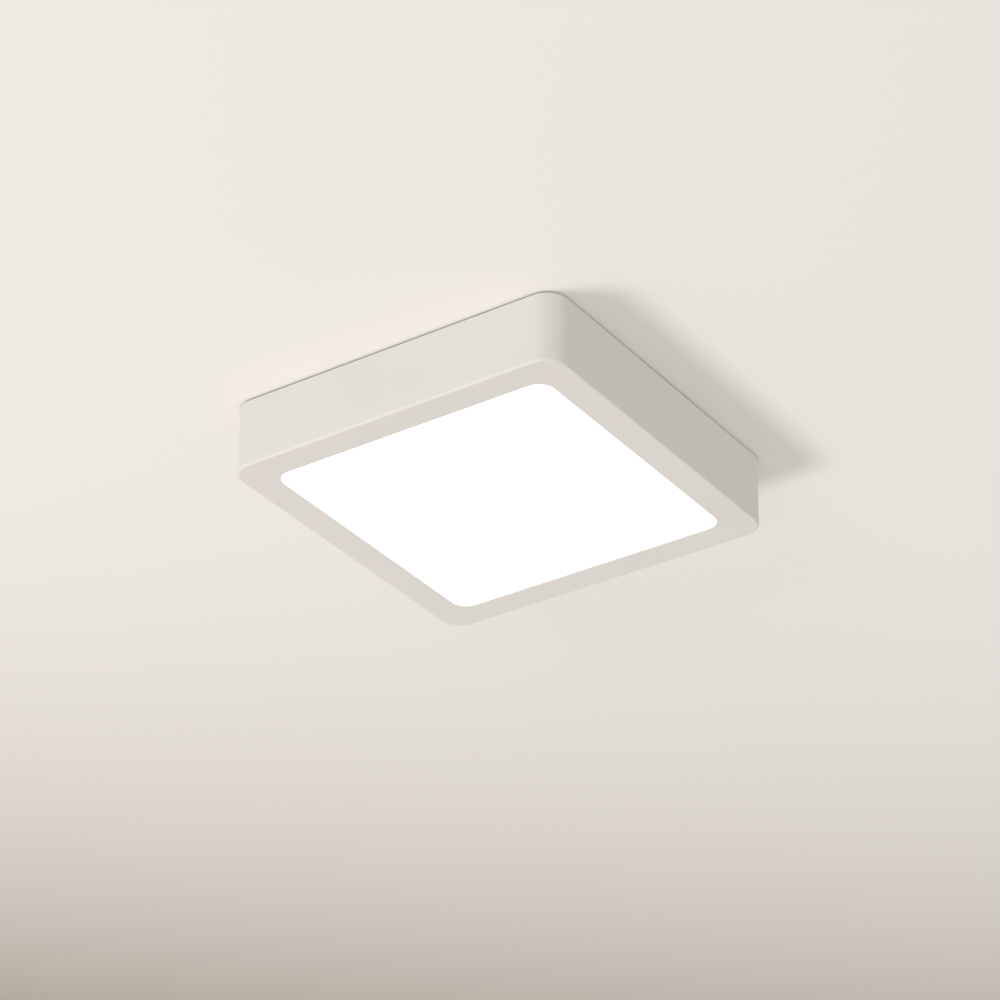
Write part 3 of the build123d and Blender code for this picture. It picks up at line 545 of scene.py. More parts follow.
@dataclass(frozen=True)
class Film(Finish):
    """White film or paper, slightly rippled."""

    colour: Colour = tone(0.86, 0.865, 0.87)
    roughness: float = 0.5

    def write(self, shader: Shader) -> None:
        """Writes the film's nodes.

        Args:
            shader: the material that they go in.
        """
        ripple = shader.noise(17 * MM, 1.0)
        fibre = shader.noise(0.25 * MM, 2.0)
        shader.surface(
            Base_Color=shader.blend(ripple, shade(self.colour, 0.96), self.colour),
            Roughness=self.roughness + 0.08 * fibre,
            Normal=shader.relief(ripple + 0.05 * fibre, 0.05 * MM, 0.5),
        )


@dataclass(frozen=True)
class FlexCircuit(Finish):
    """Flexible white circuit with copper tracks that show through its cover film."""

    colour: Colour = tone(0.80, 0.80, 0.77)
    track: Colour = tone(0.72, 0.66, 0.52)
    middle_z: float = -29.9 * MM

    def write(self, shader: Shader) -> None:
        """Writes the circuit's nodes.

        Args:
            shader: the material that they go in.
        """
        z = shader.axes()[2]
        off = (z - self.middle_z).maths("ABSOLUTE")
        tracks = off.step(0.55 * MM, 0.65 * MM) * (1 - off.step(1.1 * MM, 1.2 * MM))
        weave = shader.noise(0.3 * MM)
        shader.surface(
            Base_Color=shader.blend(tracks * 0.8, self.colour, self.track),
            Roughness=0.42 + 0.08 * weave,
            Normal=shader.relief(tracks + 0.1 * weave, 0.03 * MM),
        )


@dataclass(frozen=True)
class Board(Finish):
    """Circuit board: solder mask with tracks under it, and glass cloth at its edge."""

    mask: Colour = tone(0.018, 0.14, 0.055)
    track: Colour = tone(0.035, 0.22, 0.085)
    glass: Colour = tone(0.52, 0.50, 0.30)
    top_z: float = -18.8 * MM
    pitch: float = 2.54 * MM

    def write(self, shader: Shader) -> None:
        """Writes the board's nodes.

        Args:
            shader: the material that they go in.
        """
        x, y, z = shader.axes()
        bend = shader.noise(9 * MM, 0.0)
        lane = (y + (bend - 0.5) * (3 * MM)) % self.pitch
        off = (lane - self.pitch / 2).maths("ABSOLUTE")
        tracks = 1 - off.step(0.55 * MM, 0.6 * MM)
        breaks = (x % (11 * MM) - 5.5 * MM).maths("ABSOLUTE").step(0.6 * MM, 0.7 * MM)
        tracks = tracks * breaks
        edge = 1 - (z - self.top_z).maths("ABSOLUTE").step(0.05 * MM, 0.1 * MM)
        face = shader.blend(tracks, self.mask, self.track)
        shader.surface(
            Base_Color=shader.blend(edge, self.glass, face),
            Roughness=0.3 + 0.15 * (1 - edge),
            Normal=shader.relief(tracks, 0.035 * MM),
        )


@dataclass(frozen=True)
class Ferrite(Finish):
    """Pressed and fired ferrite: dull black with tiny grains."""

    colour: Colour = tone(0.045, 0.044, 0.046)

    def write(self, shader: Shader) -> None:
        """Writes the ferrite's nodes.

        Args:
            shader: the material that they go in.
        """
        grain = shader.noise(0.25 * MM, 3.0)
        shader.surface(
            Base_Color=shader.blend(grain.step(0.4, 0.8), self.colour, shade(self.colour, 2.2)),
            Roughness=0.5 + 0.2 * grain,
            Normal=shader.relief(grain, 0.02 * MM),
        )


@dataclass(frozen=True)
class WoundWire(Finish):
    """Enamelled copper wire in even layers, turn above turn, with painted shade in the grooves
    between the turns.
    """

    colour: Colour = tone(0.62, 0.23, 0.08)
    wire: float = 0.34 * MM

    def write(self, shader: Shader) -> None:
        """Writes the winding's nodes.

        Args:
            shader: the material that they go in.
        """
        z = shader.axes()[2]
        turn = (z % self.wire / self.wire - 0.5) * 2.0
        round_height = 1 - turn * turn
        tint = shader.noise(1.0, 1.0, shader.stretched((300.0, 300.0, 2000.0)))
        shader.surface(
            # painted shade: the colour darkens in the grooves between the turns
            Base_Color=shader.blend(
                round_height * 0.8 + 0.2 * tint, shade(self.colour, 0.35), self.colour
            ),
            Metallic=0.75,
            Roughness=0.3 + 0.12 * tint,
            Normal=shader.relief(round_height, self.wire * 0.5),
        )


@dataclass(frozen=True)
class Tape(Finish):
    """Yellow polyester tape wound round a coil in overlapping layers."""

    colour: Colour = tone(0.74, 0.52, 0.05)
    width: float = 3.4 * MM

    def write(self, shader: Shader) -> None:
        """Writes the tape's nodes.

        Args:
            shader: the material that they go in.
        """
        z = shader.axes()[2]
        lap = (z % self.width / self.width).step(0.9, 0.98)
        crease = shader.noise(1.8 * MM, 3.0)
        shader.surface(
            Base_Color=shader.blend(lap * 0.5 + crease * 0.3, self.colour, shade(self.colour, 0.6)),
            Roughness=0.22 + 0.2 * crease,
            Normal=shader.relief(lap + 0.4 * crease, 0.06 * MM),
        )


@dataclass(frozen=True)
class Sleeve(Finish):
    """Shrunk sleeve of a capacitor, with a pale stripe along it and bare metal at its ends."""

    colour: Colour = tone(0.03, 0.035, 0.05)
    stripe: Colour = tone(0.36, 0.40, 0.44)
    metal: Colour = tone(0.72, 0.73, 0.74)
    middle: Point = (0.0, 0.0, 0.0)
    radius: float = 4.9 * MM
    half_length: float = 8.0 * MM

    def write(self, shader: Shader) -> None:
        """Writes the sleeve's nodes.

        Args:
            shader: the material that they go in.
        """
        x, y, z = shader.axes()
        across = x - self.middle[0]
        rise = z - self.middle[2]
        band = across.step(self.radius * 0.62, self.radius * 0.64) * (rise > 0.0)
        reach = (across * across + rise * rise).maths("SQRT")
        end = (y - self.middle[1]).maths("ABSOLUTE") > self.half_length - 0.02 * MM
        bare = end * (reach < self.radius * 0.8)
        wrinkle = shader.noise(1.4 * MM, 2.0)
        coat = shader.blend(band, self.colour, self.stripe)
        shader.surface(
            Base_Color=shader.blend(bare, coat, self.metal),
            Metallic=bare * 0.9,
            Roughness=0.32 + 0.1 * wrinkle,
            Normal=shader.relief(wrinkle, 0.02 * MM, 0.6),
        )


@dataclass(frozen=True)
class Insulation(Finish):
    """Extruded cable insulation, plain or with a second colour along it."""

    colour: Colour = tone(0.10, 0.045, 0.02)
    second: Colour | None = None
    pitch: float = 1.9 * MM

    def write(self, shader: Shader) -> None:
        """Writes the insulation's nodes.

        Args:
            shader: the material that they go in.
        """
        drawn = shader.noise(0.9 * MM, 3.0)
        colour = shader.blend(drawn, shade(self.colour, 0.86), shade(self.colour, 1.08))
        if self.second is not None:
            x, y, z = shader.axes()
            band = ((x + y * 0.8 + z * 1.7) % self.pitch / self.pitch - 0.5).maths("ABSOLUTE")
            colour = shader.blend(band.step(0.235, 0.265), colour, self.second)
        shader.surface(
            Base_Color=colour,
            Roughness=0.36 + 0.1 * drawn,
            Coat_Weight=0.15,
            Coat_Roughness=0.3,
            Normal=shader.relief(drawn, 0.012 * MM, 0.6),
        )


@dataclass(frozen=True)
class LedPhosphor(Finish):
    """Face of a small LED: white reflector cup with yellow phosphor in its window."""

    cup: Colour = tone(0.82, 0.82, 0.80)
    phosphor: Colour = tone(0.90, 0.72, 0.16)
    strength: float = 0.6

    def write(self, shader: Shader) -> None:
        """Writes the LED's nodes.

        Args:
            shader: the material that they go in.
        """
        gel = shader.noise(0.3 * MM, 2.0)
        shader.surface(
            Base_Color=shader.blend(gel * 0.35, self.phosphor, self.cup),
            Roughness=0.3 + 0.1 * gel,
            Emission_Color=shader.blend(gel * 0.2, self.phosphor, self.cup),
            Emission_Strength=self.strength,
        )


class Kind(Enum):
    """The finishes of this light, by the names of the record's material slots."""

    POWDER_COAT = PowderCoat("powder_coat")
    DIFFUSER = LitOpal("diffuser")
    LIGHT_GUIDE = DottedAcrylic("light_guide")
    LED_STRIP = FlexCircuit("led_strip")
    LED_CHIPS = LedPhosphor("led_chips")
    REFLECTOR = Film("reflector")
    FOAM = FoamSheet("foam")
    BACK_PLATE = ZincSheet("back_plate", crystal=5.0 * MM)
    ZINC_SCREW = PlatedSteel("zinc_screw")
    GREY_RUBBER = Rubber("grey_rubber")
    DRIVER_CASE = Moulded("driver_case", tone(0.72, 0.72, 0.70))
    BOARD = Board("board")
    CONNECTOR = Moulded("connector", tone(0.74, 0.73, 0.68), roughness=0.4)
    FUSE_BODY = Moulded("fuse_body", tone(0.13, 0.055, 0.03), roughness=0.34)
    VARISTOR_COAT = Moulded("varistor_coat", tone(0.03, 0.12, 0.42), roughness=0.3, grain=0.6 * MM)
    FILM_BOX = Moulded("film_box", tone(0.62, 0.35, 0.06), roughness=0.34)
    FERRITE = Ferrite("ferrite")
    COPPER_WINDING = WoundWire("copper_winding")
    COIL_TAPE = Tape("coil_tape")
    BLACK_PACKAGE = Moulded("black_package", tone(0.028, 0.028, 0.03), roughness=0.55)
    CAN_SLEEVE = Sleeve("can_sleeve")
    TERMINAL_BODY = Moulded("terminal_body", tone(0.76, 0.76, 0.74), roughness=0.4)
    CONTACT_METAL = PlatedSteel("contact_metal", tone(0.74, 0.57, 0.28), tone(0.60, 0.42, 0.20))
    BUTTON_GREY = Moulded("button_grey", tone(0.16, 0.165, 0.175), roughness=0.42)
    CLAMP_PLASTIC = Moulded("clamp_plastic", tone(0.70, 0.69, 0.66), roughness=0.44)
    SPRING_STEEL = PlatedSteel("spring_steel", tone(0.50, 0.51, 0.53), tone(0.36, 0.34, 0.32))
    RIVET_ALLOY = PlatedSteel("rivet_alloy", tone(0.76, 0.77, 0.78), tone(0.62, 0.62, 0.61))
    TINNED_BRASS = PlatedSteel("tinned_brass", tone(0.72, 0.71, 0.68), tone(0.60, 0.55, 0.44))
    GALVANISED = ZincSheet("galvanised", tone(0.60, 0.61, 0.62), 3.0 * MM, 0.1)
    LEAD_BROWN = Insulation("lead_brown", tone(0.105, 0.042, 0.018))
    LEAD_BLUE = Insulation("lead_blue", tone(0.012, 0.075, 0.34))
    LEAD_EARTH = Insulation("lead_earth", tone(0.03, 0.24, 0.05), tone(0.80, 0.66, 0.04))
    LEAD_RED = Insulation("lead_red", tone(0.42, 0.015, 0.012))
    LEAD_BLACK = Insulation("lead_black", tone(0.016, 0.016, 0.017))


def finish_of(slot: str) -> Finish:
    """Returns the finish that stands for a material slot of the record."""
    return next(kind.value for kind in Kind if kind.value.name == slot)


# ------------------------------------------------------------------ meshes


def rounded_square(half: float, radius: float, z: float, steps: int) -> list[Point]:
    """Returns the points round a square with rounded corners, anticlockwise from +X."""
    return rounded_box((half, half), radius, (0.0, 0.0), z, steps)


def rounded_box(
    halves: Place, radius: float, middle: Place, z: float, steps: int
) -> list[Point]:
    """Returns the points round a rectangle with rounded corners, anticlockwise from +X.

    Args:
        halves: half of its length along X and along Y.
        radius: the radius of its corners.
        middle: the place of its middle.
        z: the height of all the points.
        steps: how many edges each corner has.

    Returns:
        The points, steps + 1 for each corner.
    """
    points = []
    for corner, (side_x, side_y) in enumerate(((1, 1), (-1, 1), (-1, -1), (1, -1))):
        for step in range(steps + 1):
            angle = math.radians(90.0 * (corner + step / steps))
            x = middle[0] + side_x * (halves[0] - radius) + radius * math.cos(angle)
            y = middle[1] + side_y * (halves[1] - radius) + radius * math.sin(angle)
            points.append((x, y, z))
    return points


def skinned(
    mesh: bmesh.types.BMesh, rings: Sequence[Sequence[bmesh.types.BMVert]], closed: bool
) -> bmesh.types.BMesh:
    """Joins rings of vertices, each to the next.

    Args:
        mesh: the mesh, changed in place.
        rings: the rings in order; a vertex that repeats makes a point.
        closed: True joins the last ring to the first.

    Returns:
        The same mesh, with its faces outward.
    """
    pairs = list(zip(rings, rings[1:]))
    if closed:
        pairs.append((rings[-1], rings[0]))
    for lower, upper in pairs:
        for here in range(len(lower)):
            after = (here + 1) % len(lower)
            face = dict.fromkeys((lower[here], lower[after], upper[after], upper[here]))
            mesh.faces.new(tuple(face))
    bmesh.ops.recalc_face_normals(mesh, faces=mesh.faces)
    return mesh


def loft(loops: Sequence[Sequence[Point]], closed: bool = False) -> bmesh.types.BMesh:
    """Skins a row of loops that all have as many points.

    Args:
        loops: the loops in order.
        closed: True joins the last loop to the first; False caps both ends.

    Returns:
        The skin, with its faces outward.
    """
    mesh = bmesh.new()
    rings = [[mesh.verts.new(point) for point in loop] for loop in loops]
    if not closed:
        mesh.faces.new(rings[0])
        mesh.faces.new(rings[-1])
    return skinned(mesh, rings, closed)


def turned(section: Sequence[Place], edges: int, hollow: bool = False) -> bmesh.types.BMesh:
    """Turns a section round the Z axis.

    Args:
        section: its points as radius and height, from one end to the other.
        edges: how many edges go round.
        hollow: True joins the last point to the first, for a ring.

    Returns:
        The turned mesh, with its faces outward.
    """
    mesh = bmesh.new()
    rings = []
    for radius, z in section:
        if radius < 1e-9:
            rings.append([mesh.verts.new((0.0, 0.0, z))] * edges)
            continue
        turns = [math.tau * step / edges for step in range(edges)]
        rings.append(
            [mesh.verts.new((radius * math.cos(t), radius * math.sin(t), z)) for t in turns]
        )
    return skinned(mesh, rings, hollow)


def slab(
    halves: Place, radius: float, middle: Place, bottom: float, top: float, steps: int = 6
) -> bmesh.types.BMesh:
    """Returns an upright slab with rounded corners, from its bottom to its top."""
    return loft([rounded_box(halves, radius, middle, z, steps) for z in (bottom, top)])


def moved(mesh: bmesh.types.BMesh, way: Point, turn: Matrix | None = None) -> bmesh.types.BMesh:
    """Turns a mesh about the origin and then moves it.

    Args:
        mesh: the mesh, changed in place.
        way: how far it goes.
        turn: the turn, if it has one.

    Returns:
        The same mesh.
    """
    placed = Matrix.Translation(way) @ (turn or Matrix.Identity(4))
    bmesh.ops.transform(mesh, matrix=placed, verts=mesh.verts)
    return mesh


def welded(node: str) -> bmesh.types.BMesh:
    """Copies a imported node's mesh and welds its triangles into flat faces.

    Args:
        node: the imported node.

    Returns:
        The copy.
    """
    mesh = bmesh.new()
    mesh.from_mesh(frame["nodes"][node].data)
    bmesh.ops.remove_doubles(mesh, verts=mesh.verts, dist=WELD)
    bmesh.ops.dissolve_limit(mesh, angle_limit=FLAT, verts=mesh.verts, edges=mesh.edges)
    return mesh


# ------------------------------------------------------------------ pieces


def thing(name: str, mesh: bmesh.types.BMesh) -> bpy.types.Object:
    """Makes an object from a mesh.

    Args:
        name: the object's name.
        mesh: the mesh, which is freed.

    Returns:
        The object, linked to the scene.
    """
    data = bpy.data.meshes.new(name)
    mesh.to_mesh(data)
    mesh.free()
    made = bpy.data.objects.new(name, data)
    bpy.context.scene.collection.objects.link(made)
    return made


def baked(made: bpy.types.Object) -> bpy.types.Object:
    """Turns an object's modifiers into plain mesh.

    Args:
        made: the object.

    Returns:
        The same object, without modifiers.
    """
    bpy.context.view_layer.update()
    graph = bpy.context.evaluated_depsgraph_get()
    plain = bpy.data.meshes.new_from_object(made.evaluated_get(graph))
    made.modifiers.clear()
    old = made.data
    made.data = plain
    bpy.data.meshes.remove(old)
    return made


def discard(*things: bpy.types.Object) -> None:
    """Removes helper objects with their meshes.

    Args:
        things: the objects.
    """
    for helper in things:
        data = helper.data
        bpy.data.objects.remove(helper)
        bpy.data.meshes.remove(data)


def carved(made: bpy.types.Object, *cutters: bmesh.types.BMesh) -> bpy.types.Object:
    """Cuts shapes out of an object.

    Args:
        made: the object.
        cutters: the shapes, which are freed.

    Returns:
        The same object.
    """
    helpers = [thing(f"{made.name}_helper", shape) for shape in cutters]
    for helper in helpers:
        boolean = made.modifiers.new("boolean", "BOOLEAN")
        boolean.operation = "DIFFERENCE"
        boolean.solver = "EXACT"
        boolean.object = helper
    baked(made)
    discard(*helpers)
    return made


def softened(made: bpy.types.Object, width: float, segments: int = 3) -> bpy.types.Object:
    """Rounds an object's sharp edges.

    Args:
        made: the object.
        width: how wide the rounding is.
        segments: how many faces it has.

    Returns:
        The same object.
    """
    bevel = made.modifiers.new("soft_edges", "BEVEL")
    bevel.width = width
    bevel.segments = segments
    bevel.limit_method = "ANGLE"
    bevel.angle_limit = math.radians(38.0)
    bevel.use_clamp_overlap = True
    bevel.miter_outer = "MITER_ARC"
    return baked(made)


def settled(made: bpy.types.Object) -> bpy.types.Object:
    """Shades an object smoothly, with its flat faces flat and its sharp edges sharp.

    Args:
        made: the object.

    Returns:
        The same object.
    """
    made.data.shade_smooth()
    made.data.set_sharp_from_angle(angle=SHARP)
    weighted = made.modifiers.new("even_faces", "WEIGHTED_NORMAL")
    weighted.keep_sharp = True
    weighted.weight = 100
    return baked(made)


def placed(made: bpy.types.Object, kind: Kind, body: str, *nodes: str) -> None:
    """Finishes a piece and lets it ride on its body.

    Args:
        made: the object.
        kind: the finish that it is dressed in.
        body: the body that it rides on.
        nodes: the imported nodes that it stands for.
    """
    settled(made)
    made.data.materials.clear()
    made.data.materials.append(kind.value.material())
    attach(made, body)
    if nodes:
        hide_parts(*nodes)
    log.info("%s: %d faces on %s", made.name, len(made.data.polygons), body)


def adopted(
    name: str, node: str, kind: Kind, edge: float, segments: int = 3, body: str = "lamp"
) -> None:
    """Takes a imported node's mesh over as a piece with softened edges."""
    placed(softened(thing(name, welded(node)), edge, segments), kind, body, node)


class Growth(Tree):
    """A Geometry Nodes group with named inputs that grows what repeats on a host mesh."""

    def __init__(self, name: str) -> None:
        """Makes an empty group of that name."""
        self.group = bpy.data.node_groups.new(name, "GeometryNodeTree")
        super().__init__(self.group)
        self.keys: dict[str, str] = {}
        face = self.group.interface
        face.new_socket("Geometry", in_out="INPUT", socket_type="NodeSocketGeometry")
        face.new_socket("Geometry", in_out="OUTPUT", socket_type="NodeSocketGeometry")
        self.enter = self.node("NodeGroupInput")
        self.leave = self.node("NodeGroupOutput")

    def size(self, name: str, kind: str = "Float") -> Socket:
        """Adds a named input.

        Args:
            name: the input's name.
            kind: the kind of its socket.

        Returns:
            The input.
        """
        item = self.group.interface.new_socket(
            name, in_out="INPUT", socket_type=f"NodeSocket{kind}"
        )
        self.keys[name] = item.identifier
        return Socket(self, self.enter.outputs[name])

    def vector(self, x: Value, y: Value, z: Value) -> Socket:
        """Returns a vector of three values."""
        return self.output("ShaderNodeCombineXYZ", {0: x, 1: y, 2: z})

    def shape(self, part: Socket) -> Socket:
        """Returns the geometry of the object in an input."""
        return self.output("GeometryNodeObjectInfo", {"Object": part}, "Geometry")

    def index(self) -> Socket:
        """Returns the number of each point."""
        return self.output("GeometryNodeInputIndex")

    def copies(self, spots: Value, shape: Value, **sockets: Value) -> Socket:
        """Returns a shape's copies on each point, turned or scaled by the sockets."""
        inputs = {"Points": spots, "Instance": shape, **sockets}
        return self.output("GeometryNodeInstanceOnPoints", inputs)

    def end(self, geometry: Value, material: Socket) -> None:
        """Realizes the instances, dresses them and hands them out.

        Args:
            geometry: what has grown.
            material: the input that holds its material.
        """
        real = self.output("GeometryNodeRealizeInstances", {0: geometry})
        dressed = self.output("GeometryNodeSetMaterial", {"Geometry": real, "Material": material})
        self.feed(self.leave.inputs[0], dressed)

    def grow(
        self, name: str, host: bmesh.types.BMesh, values: Mapping[str, object]
    ) -> bpy.types.Object:
        """Grows the group's geometry on a host mesh.

        Args:
            name: the new object's name.
            host: the mesh that it grows on, which is freed.
            values: the values of the group's named inputs.

        Returns:
            The grown object, as plain mesh.
        """
        made = thing(name, host)
        modifier = made.modifiers.new("growth", "NODES")
        modifier.node_group = self.group
        for key, value in values.items():
            modifier[self.keys[key]] = value
        return baked(made)

    def repeat(
        self,
        name: str,
        part: bpy.types.Object,
        spots: Iterable[Point],
        kind: Kind,
        node: str,
        **values: float,
    ) -> None:
        """Grows a part's copies as one finished piece of the lamp.

        Args:
            name: the piece's name.
            part: the part, which is discarded.
            spots: the points of the host mesh.
            kind: the piece's finish.
            node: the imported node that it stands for.
            values: the values of the group's other inputs.
        """
        inputs = {"Part": part, **values, "Material": kind.value.material()}
        made = self.grow(name, points(spots), inputs)
        discard(part)
        placed(made, kind, "lamp", node)


def points(places: Iterable[Point]) -> bmesh.types.BMesh:
    """Makes a mesh of single points.

    Args:
        places: where they are.

    Returns:
        The mesh.
    """
    mesh = bmesh.new()
    for place in places:
        mesh.verts.new(place)
    return mesh


def scatter_group() -> Growth:
    """Makes the group that puts a part on each point, turned by chance about Z.

    Returns:
        The group, with the inputs Part, Turn, Seed and Material.
    """
    group = Growth("parts_on_points")
    part, turn = group.size("Part", "Object"), group.size("Turn")
    seed, material = group.size("Seed", "Int"), group.size("Material", "Material")
    inputs = {"Seed": seed, 2: 0.0, 3: 1.0}
    chance = group.output("FunctionNodeRandomValue", inputs, 1, {"data_type": "FLOAT"})
    spin = group.vector(0.0, 0.0, chance * turn)
    copies = group.copies(group.enter.outputs[0], group.shape(part), Rotation=spin)
    group.end(copies, material)
    return group


def four_sides_group() -> Growth:
    """Makes the group that repeats a part in a row along each side of a square.

    Returns:
        The group, with the inputs Part, Count, Pitch, Offset, Height and Material.
    """
    group = Growth("rows_on_four_sides")
    part, count = group.size("Part", "Object"), group.size("Count", "Int")
    pitch, offset = group.size("Pitch"), group.size("Offset")
    height, material = group.size("Height"), group.size("Material", "Material")
    start = (count - 1) * pitch * -0.5
    row = group.output(
        "GeometryNodeMeshLine",
        {
            "Count": count,
            "Start Location": group.vector(offset, start, height),
            "Offset": group.vector(0.0, pitch, 0.0),
        },
    )
    parts = group.copies(row, group.shape(part))
    sides = group.output("GeometryNodeMeshLine", {"Count": 4, "Offset": (0.0, 0.0, 0.0)})
    quarter = group.vector(0.0, 0.0, group.index() * (math.pi / 2))
    group.end(group.copies(sides, parts, Rotation=quarter), material)
    return group


def coil_group() -> Growth:
    """Makes the group that winds round wire in layers on a bobbin.

    Returns:
        The group, with the inputs Turns, Wire, Inner radius, Layers, Height and Material.
    """
    group = Growth("wound_wire")
    turns, wire = group.size("Turns"), group.size("Wire")
    inner, layers = group.size("Inner radius"), group.size("Layers", "Int")
    height, material = group.size("Height"), group.size("Material", "Material")
    steps = group.output("GeometryNodeMeshLine", {"Count": layers, "Offset": (0.0, 0.0, 0.0)})
    spiral = group.output(
        "GeometryNodeCurveSpiral",
        {
            "Resolution": SPIRAL_EDGES,
            "Rotations": turns,
            "Start Radius": 1.0,
            "End Radius": 1.0,
            "Height": height,
        },
    )
    index = group.index()
    reach = inner + (index + 0.5) * wire
    scale = group.vector(reach, reach, 1.0)
    turn = group.vector(0.0, 0.0, index * LAYER_TURN)
    layer = group.copies(steps, spiral, Scale=scale, Rotation=turn)
    real = group.output("GeometryNodeRealizeInstances", {0: layer})
    section = group.output(
        "GeometryNodeCurvePrimitiveCircle", {"Resolution": WIRE_EDGES, "Radius": wire * 0.5}
    )
    skin = group.output(
        "GeometryNodeCurveToMesh", {"Curve": real, "Profile Curve": section, "Fill Caps": True}
    )
    group.end(skin, material)
    return group


def dot_group() -> Growth:
    """Makes the group that prints dots on a square, larger towards its middle.

    Returns:
        The group, with the inputs Side, Count, Smallest, Largest, Height and Material.
    """
    group = Growth("printed_dots")
    side, count = group.size("Side"), group.size("Count", "Int")
    smallest, largest = group.size("Smallest"), group.size("Largest")
    height, material = group.size("Height"), group.size("Material", "Material")
    grid = group.output(
        "GeometryNodeMeshGrid",
        {"Size X": side, "Size Y": side, "Vertices X": count, "Vertices Y": count},
    )
    lift = group.vector(0.0, 0.0, height)
    lifted = group.output("GeometryNodeTransform", {"Geometry": grid, "Translation": lift})
    x, y, _ = group.split(group.output("GeometryNodeInputPosition"))
    edge = x.border(y) / side * 2.0
    size = largest - (largest - smallest) * edge * edge
    dot = group.output(
        "GeometryNodeMeshCylinder", {"Vertices": DOT_EDGES, "Radius": 1.0, "Depth": DOT_DEPTH}
    )
    group.end(group.copies(lifted, dot, Scale=group.vector(size, size, 1.0)), material)
    return group


# ------------------------------------------------------------------ sub-assemblies


@dataclass(frozen=True)
class Span:
    """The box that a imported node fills."""

    low: Vector
    high: Vector

    @classmethod
    def of(cls, node: str) -> "Span":
        """Returns the box of a node."""
        return cls(*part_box(node))

    @property
    def middle(self) -> Vector:
        """Returns the box's middle."""
        return (self.low + self.high) / 2

    @property
    def half(self) -> Vector:
        """Returns half of the box's size."""
        return (self.high - self.low) / 2

    def corners(self, inset: float, z: float) -> list[Point]:
        """Returns the places of round parts that touch the box in its four corners.

        Args:
            inset: their radius.
            z: their height.

        Returns:
            The four places.
        """
        reach = self.half - Vector((inset, inset, 0.0))
        return [
            (self.middle.x + x * reach.x, self.middle.y + y * reach.y, z)
            for x in (-1, 1)
            for y in (-1, 1)
        ]

    def ends(self, inset: float, z: float) -> list[Point]:
        """Returns the places of two round parts at the box's ends along X.

        Args:
            inset: their radius.
            z: their height.

        Returns:
            The two places.
        """
        reach = self.half.x - inset
        return [(self.middle.x + side * reach, self.middle.y, z) for side in (-1, 1)]


def eight_places(along: float, across: float, z: float) -> list[Point]:
    """Returns two places on each side of a square, mirrored about its middle."""
    pairs = ((along, across), (across, along))
    return [(x * u, y * v, z) for u, v in pairs for x in (-1, 1) for y in (-1, 1)]


@dataclass(frozen=True)
class PanScrew:
    """A pan head screw with a cross recess; its head sits at height 0.

    The root is a share of the shaft's radius and the tip one of the root. The rise is the
    share of the head's height that is upright. The crown is the flat and the rounded share
    of the head's radius.
    """

    shaft_r: float = 1.5 * MM
    head_r: float = 2.8 * MM
    head_h: float = 2.0 * MM
    length: float = 5.5 * MM
    thread_pitch: float = 0.6 * MM
    edges: int = 28
    root: float = 0.84
    tip: float = 0.7
    plain: float = 0.8 * MM
    rise: float = 0.4
    crown: Place = (0.62, 0.38)
    crown_steps: int = 7

    def section(self) -> list[Place]:
        """Draws the screw's section.

        Returns:
            Radii and heights, from its tip to the middle of its head.
        """
        root = self.shaft_r * self.root
        section = [(0.0, -self.length), (root * self.tip, -self.length)]
        turns = int((self.length - self.plain) / self.thread_pitch)
        for turn in range(turns):
            z = -self.length + 0.4 * MM + turn * self.thread_pitch
            section += [(root, z), (self.shaft_r, z + self.thread_pitch * 0.5)]
        section += [(root, -0.3 * MM), (root, 0.0), (self.head_r - 0.15 * MM, 0.0)]
        section += [(self.head_r, 0.12 * MM), (self.head_r, self.head_h * self.rise)]
        flat, bulge = self.crown
        for step in range(1, self.crown_steps):
            angle = math.radians(90.0 * step / self.crown_steps)
            r = self.head_r * (flat + bulge * math.cos(angle))
            section.append((r, self.head_h * (self.rise + 0.56 * math.sin(angle))))
        return [*section, (self.head_r * 0.3, self.head_h), (0.0, self.head_h)]

    def recess(self) -> bmesh.types.BMesh:
        """Makes the tapered cross that is pressed into the head.

        Returns:
            The cross, to be cut out of the screw.
        """
        arm, reach = self.head_r * 0.15, self.head_r * 0.62
        quarter = ((reach, -arm), (reach, arm), (arm, arm))
        outline = []
        for turn in range(4):
            c, s = round(math.cos(turn * math.pi / 2)), round(math.sin(turn * math.pi / 2))
            outline += [(c * x - s * y, s * x + c * y) for x, y in quarter]
        sections = ((0.42, self.head_h * 0.35), (1.05, self.head_h * 1.1))
        return loft([[(x * size, y * size, z) for x, y in outline] for size, z in sections])

    def part(self) -> bpy.types.Object:
        """Returns one screw as a helper object."""
        screw = thing("screw_part", turned(self.section(), self.edges))
        return softened(carved(screw, self.recess()), 0.05 * MM, 1)


@dataclass(frozen=True)
class BlindRivet:
    """A domed rivet with the end of its mandrel; its head sits at height 0."""

    shaft_r: float = 1.5 * MM
    head_r: float = 2.5 * MM
    head_h: float = 1.1 * MM
    length: float = 1.8 * MM
    mandrel_r: float = 0.85 * MM
    edges: int = 28
    dome_steps: int = 6

    def part(self) -> bpy.types.Object:
        """Makes one rivet.

        Returns:
            The rivet, as a helper object.
        """
        section = [(0.0, -self.length), (self.shaft_r, -self.length), (self.shaft_r, 0.0)]
        section += [(self.head_r - 0.08 * MM, 0.0), (self.head_r, 0.1 * MM)]
        for step in range(1, self.dome_steps + 1):
            angle = math.radians(90.0 * step / self.dome_steps)
            r = self.mandrel_r + (self.head_r - self.mandrel_r) * math.cos(angle)
            section.append((r + 0.12 * MM, self.head_h * (0.1 + 0.9 * math.sin(angle))))
        section += [(self.mandrel_r, self.head_h * 0.92), (self.mandrel_r, self.head_h * 0.5)]
        section += [(self.mandrel_r * 0.8, self.head_h * 0.42), (0.0, self.head_h * 0.42)]
        return thing("rivet_part", turned(section, self.edges))


